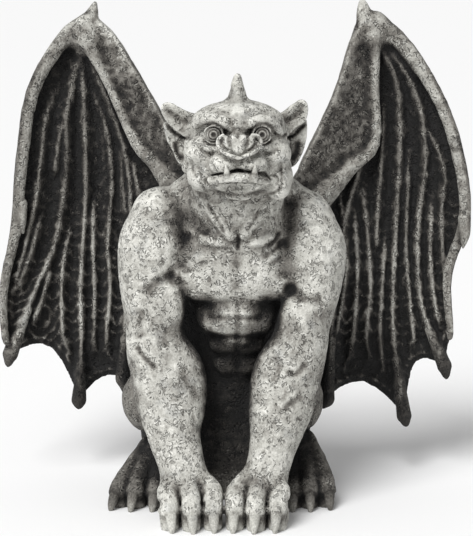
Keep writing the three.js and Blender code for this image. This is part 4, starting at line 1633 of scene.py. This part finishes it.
@dataclass(frozen=True)
class CastStone:
    """Cast stone: fine cement and stone dust, tamped into a mould taken from a hand-carved model.

    The tooled model leaves short worm-like gouges and pinholes all over. A thin black wash is wiped over the
    cast and stays in the hollows; the high places are dry-brushed almost white. The colour also carries
    painted shade where stone encloses a place, and painted highlight on crests and along the lips of the
    gouges.
    """

    # The darkest stops also take painted shade, and the palest take painted highlight as well as dry
    # brushing.
    wash: str = "#0d0c0b"
    shadow: str = "#3a3733"
    body: str = "#797670"
    pale: str = "#b3b2ab"
    brushed: str = "#e2e1da"
    cool: str = "#a9b0bd"
    roughness: float = 0.86
    ior: float = 1.5
    gouge_width: float = 4.6  # mm between gouges, as the tool left them
    gouge_spread: float = 11.0  # mm across one patch of gouges
    pinhole: float = 2.6  # mm between pinholes
    mottle: float = 30.0  # mm across a cloud of the wash
    grit: float = 1.6  # mm across the grains of sand
    depth: float = 2.2  # mm that a gouge is deep
    plain_tone: float = 0.63  # how pale plain stone is on the ramp of colours

    def material(self) -> bpy.types.Material:
        """The stone as a node material that reads the skin's own attributes."""
        material = bpy.data.materials.new("washed_cast_stone")
        material.use_nodes = True
        tree = material.node_tree
        tree.nodes.clear()
        place = add(tree, "TexCoord").outputs["Object"]

        def attribute(name: str) -> Socket:
            """A value that the skin carries at each vertex."""
            return add(tree, "Attribute", {"attribute_name": name}).outputs["Fac"]

        def math_node(kind: str, a: Socket | float, b: Socket | float = 0.0,
                      c: Socket | float = 0.0) -> Socket:
            """One step of arithmetic on sockets or plain numbers."""
            values = {n: v for n, v in enumerate((a, b, c)) if isinstance(v, (int, float))}
            sockets = {n: v for n, v in enumerate((a, b, c)) if not isinstance(v, (int, float))}
            node = add(tree, "Math", {"operation": kind, **values}, sockets)
            return node.outputs[0]

        def step(value: Socket, low: float, high: float) -> Socket:
            """A soft step from 0 at low to 1 at high."""
            node = add(
                tree,
                "MapRange",
                {"interpolation_type": "SMOOTHSTEP", "From Min": low, "From Max": high},
                {"Value": value},
            )
            return node.outputs[0]

        def noise(size: float, detail: float, distortion: float, offset: float) -> Socket:
            """Noise with blotches of that size in mm, taken from its own stretch of the pattern."""
            moved = add(tree, "Mapping", {"Location": (offset, -offset, 0.5 * offset)}, {"Vector": place})
            settings = {"Scale": per_metre(size), "Detail": detail, "Distortion": distortion,
                        "Roughness": 0.55}
            return add(tree, "TexNoise", settings, {"Vector": moved.outputs[0]}).outputs["Fac"]

        hollow, crest, shade = attribute("hollow"), attribute("crest"), attribute("shade")
        web, smooth, wash_and_shade = attribute("web"), attribute("smooth"), attribute("wash_and_shade")

        # Gouges are the thin contour lines of a wavy noise, broken into short pieces by a second one.
        contour = math_node("ABSOLUTE", math_node("SUBTRACT", noise(self.gouge_width, 1.0, 0.9, 0.0), 0.5))
        line = math_node("SUBTRACT", 1.0, step(contour, 0.010, 0.055))
        flank = math_node("SUBTRACT", 1.0, step(contour, 0.0, 0.11))
        # Painted highlight: a pale band along both lips of each gouge, where the edge would catch the light.
        lip = math_node("MULTIPLY", step(contour, 0.05, 0.09),
                        math_node("SUBTRACT", 1.0, step(contour, 0.10, 0.18)))
        patch = step(noise(self.gouge_spread, 2.0, 0.0, 0.7), 0.40, 0.52)
        broken = math_node("MULTIPLY", patch, step(noise(4.4, 1.0, 0.0, 1.9), 0.46, 0.56))
        rough = math_node("SUBTRACT", 1.0, math_node("MULTIPLY", smooth, 0.85))
        broken = math_node("MULTIPLY", broken, rough)
        gouge = math_node("MULTIPLY", line, broken)
        cells = add(tree, "TexVoronoi", {"Scale": per_metre(self.pinhole), "Randomness": 1.0},
                    {"Vector": place})
        hole = math_node("SUBTRACT", 1.0, step(cells.outputs["Distance"], 0.10, 0.30))
        hole = math_node("MULTIPLY", hole, step(noise(7.0, 2.0, 0.0, 2.3), 0.50, 0.62))
        hole = math_node("MULTIPLY", hole, math_node("MULTIPLY", rough, 0.8))
        tooled = math_node("MAXIMUM", gouge, hole)

        cloud = math_node("SUBTRACT", noise(self.mottle, 3.0, 0.3, 3.1), 0.5)
        grain = math_node("SUBTRACT", noise(self.grit, 3.0, 0.0, 4.7), 0.5)
        # Among these causes, the shade from the stone around and the creases' painted shade darken, and the
        # crests and the gouges' lips add painted highlight.
        tone: Socket | float = self.plain_tone
        for cause, share in (
            (cloud, 0.44),
            (grain, 0.42),
            (math_node("MULTIPLY", lip, broken), 0.17),
            (crest, 0.24),
            (hollow, -0.26),
            (shade, -0.66),
            (tooled, -0.13),
            (web, -0.62),
            (smooth, -0.08),
            (wash_and_shade, -0.36),
        ):
            tone = math_node("MULTIPLY_ADD", cause, share, tone)
        ramp = add(tree, "ValToRGB", {}, {"Fac": tone})
        stops = ((0.0, self.wash), (0.24, self.shadow), (0.5, self.body), (0.72, self.pale),
                 (0.95, self.brushed))
        elements = ramp.color_ramp.elements
        while len(elements) < len(stops):
            elements.new(0.5)
        for element, (position, colour) in zip(elements, stops):
            element.position = position
            element.color = linear(colour)
        tint = math_node("MULTIPLY", step(noise(16.0, 2.0, 0.0, 5.3), 0.55, 0.75), 0.22)
        cooled = add(
            tree,
            "Mix",
            {"data_type": "RGBA", "blend_type": "MULTIPLY", 7: linear(self.cool)},
            {0: tint, 6: ramp.outputs["Color"]},
        )

        groove = math_node("MAXIMUM", math_node("MULTIPLY", flank, broken), hole)
        relief = math_node("MULTIPLY_ADD", groove, -1.0, math_node("MULTIPLY", grain, 0.5))
        bump = add(tree, "Bump", {"Strength": 1.0, "Distance": self.depth / 1000.0}, {"Height": relief})
        shader = add(
            tree,
            "BsdfPrincipled",
            {"Roughness": self.roughness, "IOR": self.ior},
            {"Base Color": cooled.outputs[2], "Normal": bump.outputs[0]},
        )
        add(tree, "OutputMaterial", {}, {"Surface": shader.outputs[0]})
        return material


@dataclass(frozen=True)
class PaintedFloor:
    """A studio floor: board rolled with matt white emulsion, which gives a soft, even light back."""

    colour: str = "#f4f4f4"
    roughness: float = 0.9

    def material(self) -> bpy.types.Material:
        """The floor's paint, with the faint stipple of the roller."""
        material = bpy.data.materials.new("matt_white_emulsion")
        material.use_nodes = True
        tree = material.node_tree
        tree.nodes.clear()
        place = add(tree, "TexCoord").outputs["Object"]
        stipple = add(tree, "TexNoise", {"Scale": per_metre(4.0), "Detail": 2.0}, {"Vector": place})
        bump = add(tree, "Bump", {"Strength": 0.05, "Distance": 0.0002}, {"Height": stipple.outputs["Fac"]})
        shader = add(
            tree,
            "BsdfPrincipled",
            {"Base Color": linear(self.colour), "Roughness": self.roughness},
            {"Normal": bump.outputs[0]},
        )
        add(tree, "OutputMaterial", {}, {"Surface": shader.outputs[0]})
        return material


# ------------------------------------------------------------------ the figure
@dataclass(frozen=True)
class Shelter:
    """How dark the painted shade lies, with the wash that stays there, where stone within some distance
    shelters a place from light.

    Attributes:
        cells: half the box over which the stone is counted, in cells.
        away: how far out from the skin that box lies, in mm.
        low: the share of stone at which the darkening starts.
        high: the share at which it is full.
        strength: how dark it then is.
    """

    cells: int
    away: float
    low: float
    high: float
    strength: float


# Painted shade: ambient occlusion laid into the stone's colour at three reaches, with the wash that stays in
# the same places.
SHELTERS = (
    Shelter(2, 5.0, 0.25, 0.60, 0.34),
    Shelter(6, 14.0, 0.22, 0.55, 0.42),
    Shelter(11, 26.0, 0.16, 0.42, 0.76),
)


@dataclass(frozen=True)
class ReliefScale:
    """How relief of one size takes the wash in its hollows, and the dry brush and painted highlight on its
    crests.

    Attributes:
        rounds: how often the skin is averaged to find that relief.
        sunk: the depth in mm at which a hollow is fully washed.
        hollow: how strong that wash is.
        proud: the height in mm at which a crest is fully lightened.
        crest: how strong the dry brushing and painted highlight are.
    """

    rounds: int
    sunk: float
    hollow: float
    proud: float
    crest: float


# Crests are lightened as dry brushing and as painted highlight on the middle of rounded forms.
RELIEF_SCALES = (
    ReliefScale(2, 0.35, 0.7, 0.35, 0.5),
    ReliefScale(8, 0.9, 0.5, 0.9, 0.5),
    ReliefScale(30, 2.2, 0.35, 2.4, 0.3),
)


@dataclass(frozen=True)
class Zone:
    """A region of the body with soft edges, on which the wash and the painted shade are handled in their own
    way.

    Attributes:
        y: where it starts to count and where it counts in full, along Y in mm.
        z: the same along Z.
    """

    y: tuple[float, float]
    z: tuple[float, float]

    def cover(self, points: Array) -> Array:
        """How much each point belongs to it, from 0 to 1."""
        return smoothstep(*self.y, points[:, SIGHT]) * smoothstep(*self.z, points[:, UP])


BEHIND_ARMS = Zone((-72.0, -46.0), (150.0, 95.0))
FACE = Zone((-52.0, -72.0), (258.0, 276.0))
CHEST = Zone((10.0, -20.0), (184.0, 204.0))


@dataclass(frozen=True)
class Gargoyle:
    """The whole cast figure: its clay, its skin and its finish."""

    work: SkinWork = SkinWork()
    finish: CastStone = CastStone()
    wash_and_shade_behind_arms: float = 0.62  # extra darkening behind the arms: painted shade where the body recedes, with the wash left there
    chest_shade_eased: float = 0.45  # share of the painted shade and its wash taken off the chest
    face_shade_eased: float = 0.85  # the same on the face
    face_lines_eased: float = 0.35  # share of the creases' wash and painted shade taken out of the face's lines
    face_brushed: float = 0.75  # share of the wash brushed out of the face's hollows
    eye_lines: float = 1.2  # extra crease wash and painted shade in the lines of the eyes
    eye_reach: tuple[float, float] = (12.0, 15.0)  # mm from the eye over which that ends

    def sculpt(self) -> tuple[Clay, list[Wing]]:
        """Models the figure.

        Returns:
            The clay and the wings in it.
        """
        clay = Clay(self.work.grid())
        Torso().model(clay)
        both = wings()
        for wing in both:
            wing.model(clay)
        for leg in legs():
            leg.model(clay)
        for arm in arms():
            arm.model(clay)
        Head().model(clay)
        clay.cut_ground()
        log.info("clay modelled on a grid of %s", clay.field.shape)
        return clay, both

    def smoothness(self, points: Array) -> Array:
        """Which places are smooth: claws, fangs, eyes and the soles, from 0 to 1."""
        smooth = np.zeros(len(points))
        centres = [((x, y - 1.5, z), 7.5) for x, y, z in EYES.values()]
        centres += [((-7.5, -104, 293), 4.5), ((14.3, -104, 293), 4.5)]
        for digit_owner in (*arms(), *legs()):
            for tip in digit_owner.tips:
                centres.append(((tip[0], tip[1] + 6, 7), 11))
        for wing in wings():
            for x, z in wing.claws.values():
                centres.append((wing.place((x, z + 2), 2), 11))
        for centre, radius in centres:
            distance = np.linalg.norm(points - np.array(centre), axis=1)
            smooth = np.maximum(smooth, 1 - smoothstep(radius * 0.75, radius * 1.1, distance))
        return smooth

    def wash_and_shade(self, clay: Clay, points: Array) -> Array:
        """Dark wash in the drawn creases, with painted shade in the deep ones, from 0 to 1."""
        total = np.zeros(len(points))
        # Each drawn crease darkens the colour: its wash, and painted shade where the crease is deep.
        for stroke in clay.strokes:
            if not stroke.wash_and_shade:
                continue
            inside = (points[:, SIGHT] > stroke.near) & (points[:, SIGHT] < stroke.far)
            line = stroke.line()
            for column, axis in enumerate((ACROSS, UP)):
                inside &= points[:, axis] > line[:, column].min() - WASH_AND_SHADE_SPREAD * stroke.width
                inside &= points[:, axis] < line[:, column].max() + WASH_AND_SHADE_SPREAD * stroke.width
            index = np.flatnonzero(inside)
            strength = stroke.profile(points[index, ACROSS], points[index, UP]) * stroke.wash_and_shade
            total[index] = np.maximum(total[index], strength)
        return total

    def web(self, both: list[Wing], points: Array) -> Array:
        """Dark wash in the wings' webs, with painted shade and highlight at their trailing edges, from 0 to
        1.
        """
        total = np.zeros(len(points))
        for wing in both:
            x, y, z = points.T
            index = np.flatnonzero((x * wing.side > 30) & (y > 0) & (z > 40))
            px, py, pz = x[index], y[index], z[index]
            height, wash = wing.relief(px, pz)
            sheet = wing.depth(px, pz)
            offset = py - (sheet - height)
            proud = 1 - smoothstep(-5.0, -1.5, offset)
            bone = np.where(pz < wing.elbow, *wing.bone_wash) * smoothstep(-40.0, -30.0, offset)
            front = (wash * (1 - proud) + bone * proud) * (1 - smoothstep(3.0, 6.0, offset))
            back = smoothstep(5.0, wing.thickness, py - sheet) * wing.back_wash
            total[index] = np.maximum(total[index], np.maximum(front, back))
        return total

    def shelter(self, clay: Clay, skin: Skin) -> Array:
        """Painted shade where the stone around a place shelters it from light, and the wash that stays there.
        """
        cell = self.work.shade_cell
        solid, corner = clay.occupied(cell)
        normals = skin.normals()
        total = np.zeros(len(skin.vertices))
        for one in SHELTERS:
            around = sampled(blurred(solid, one.cells), corner, cell, skin.vertices + normals * one.away)
            total = total + one.strength * smoothstep(one.low, one.high, around)
        return total

    def build(self) -> bpy.types.Object:
        """Models, skins and dresses the figure.

        Returns:
            The finished object.
        """
        clay, both = self.sculpt()
        skin = Skin(*clay.skin())
        log.info("raw skin of %d quads", len(skin.faces))
        skin = skin.thinned(self.work.most_triangles).whole()
        smooth = self.smoothness(skin.vertices)
        wash_and_shade = self.wash_and_shade(clay, skin.vertices)
        web = self.web(both, skin.vertices)
        skin = skin.roughened(smooth)
        behind, face, chest = (zone.cover(skin.vertices) for zone in (BEHIND_ARMS, FACE, CHEST))
        eyes = np.zeros(len(face))
        for centre in EYES.values():
            away = np.linalg.norm(skin.vertices - np.array(centre), axis=1)
            eyes = np.maximum(eyes, 1 - smoothstep(*self.eye_reach, away))
        # Painted shade: the stone around each place, and the receding parts behind the arms, darken its
        # colour.
        shade = self.shelter(clay, skin) + self.wash_and_shade_behind_arms * behind
        # Less painted shade on the chest and face.
        shade = shade * (1 - self.chest_shade_eased * chest) * (1 - self.face_shade_eased * face)
        wash_and_shade = np.clip(wash_and_shade * (1 - self.face_lines_eased * face) * (1 + self.eye_lines * eyes), 0, 1)
        hollow = crest = 0.0
        for scale in RELIEF_SCALES:
            sunk = skin.hollows(scale.rounds)
            hollow = hollow + scale.hollow * np.clip(sunk / scale.sunk, 0, 1)
            crest = crest + scale.crest * np.clip(-sunk / scale.proud, 0, 1)
        hollow = hollow * (1 - self.face_brushed * face)
        mesh = skin.to_mesh("gargoyle_cast")
        values = {
            "hollow": np.clip(hollow, 0, 1),
            "crest": np.clip(crest, 0, 1),
            "shade": np.clip(shade, 0, 1),
            "web": web,
            "smooth": smooth,
            "wash_and_shade": wash_and_shade,
        }
        for name, column in values.items():
            attribute = mesh.attributes.new(name, "FLOAT", "POINT")
            attribute.data.foreach_set("value", column.astype(np.float32))
        mesh.polygons.foreach_set("use_smooth", np.ones(len(mesh.polygons), bool))
        mesh.materials.append(self.finish.material())
        statue = bpy.data.objects.new("gargoyle_cast", mesh)
        bpy.context.scene.collection.objects.link(statue)
        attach(statue, "root")
        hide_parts("gargoyle")
        log.info("%s: %d triangles", statue.name, len(mesh.polygons))
        return statue


# ------------------------------------------------------------------ studio
@dataclass(frozen=True)
class Softbox:
    """A large soft lamp."""

    name: str
    place: Vec
    target: Vec
    size: float
    power: float

    def build(self) -> None:
        """Hangs the lamp and points it."""
        lamp = bpy.data.lights.new(self.name, "AREA")
        lamp.shape, lamp.size, lamp.energy = "SQUARE", self.size, self.power
        holder = bpy.data.objects.new(self.name, lamp)
        holder.location = self.place
        aim = Vector(self.target) - Vector(self.place)
        holder.rotation_euler = aim.to_track_quat("-Z", "Y").to_euler()
        bpy.context.scene.collection.objects.link(holder)


@dataclass(frozen=True)
class Studio:
    """A pale floor, plain soft light, and the camera in front and a little above."""

    floor_size: float = 200.0
    key: Softbox = Softbox("key", (-0.55, -1.7, 1.35), (0, 0, 0.22), 0.8, 5)
    sky: str = "#ffffff"
    sky_strength: float = 0.42
    sun_strength: float = 2.8
    sun_softness: float = 30.0  # degrees that the light is spread over, as through a large diffuser
    sun_turn: Vec = (42.0, 0.0, -30.0)  # degrees about X, Y and Z from straight down
    eye: Vec = (0.0, -1600.0, 460.0)  # the camera's place, in drawing mm
    pitch: float = 9.3  # degrees below the horizon
    lens: float = 128.0
    sensor: float = 36.0

    def build(self) -> None:
        """Sets up the floor, the lamps, the sky and the camera."""
        half = self.floor_size / 2
        mesh = bpy.data.meshes.new("floor")
        mesh.from_pydata([(-half, -half, 0), (half, -half, 0), (half, half, 0), (-half, half, 0)], [],
                         [(0, 1, 2, 3)])
        mesh.materials.append(PaintedFloor().material())
        floor = bpy.data.objects.new("floor", mesh)
        bpy.context.scene.collection.objects.link(floor)
        sun = bpy.data.lights.new("diffused_sky_light", "SUN")
        sun.energy, sun.angle = self.sun_strength, math.radians(self.sun_softness)
        holder = bpy.data.objects.new("diffused_sky_light", sun)
        holder.rotation_euler = [math.radians(angle) for angle in self.sun_turn]
        bpy.context.scene.collection.objects.link(holder)
        self.key.build()
        world = bpy.data.worlds.new("studio")
        bpy.context.scene.world = world
        world.use_nodes = True
        background = world.node_tree.nodes["Background"]
        background.inputs["Color"].default_value = linear(self.sky)
        background.inputs["Strength"].default_value = self.sky_strength
        self.camera()

    def camera(self) -> None:
        """Stands the camera where the figure is seen from."""
        data = bpy.data.cameras.new("camera")
        data.lens, data.sensor_width = self.lens, self.sensor
        data.clip_end = 50
        camera = bpy.data.objects.new("camera", data)
        camera.location = DRAWING.to_row(np.array([self.eye]))[0]
        camera.rotation_euler = (math.radians(90 - self.pitch), 0, 0)
        bpy.context.scene.collection.objects.link(camera)
        bpy.context.scene.camera = camera
        bpy.context.scene.view_settings.view_transform = "Standard"


def main() -> None:
    """Builds the figure and its studio."""
    Gargoyle().build()
    Studio().build()


if __name__ == "__main__":
    main()
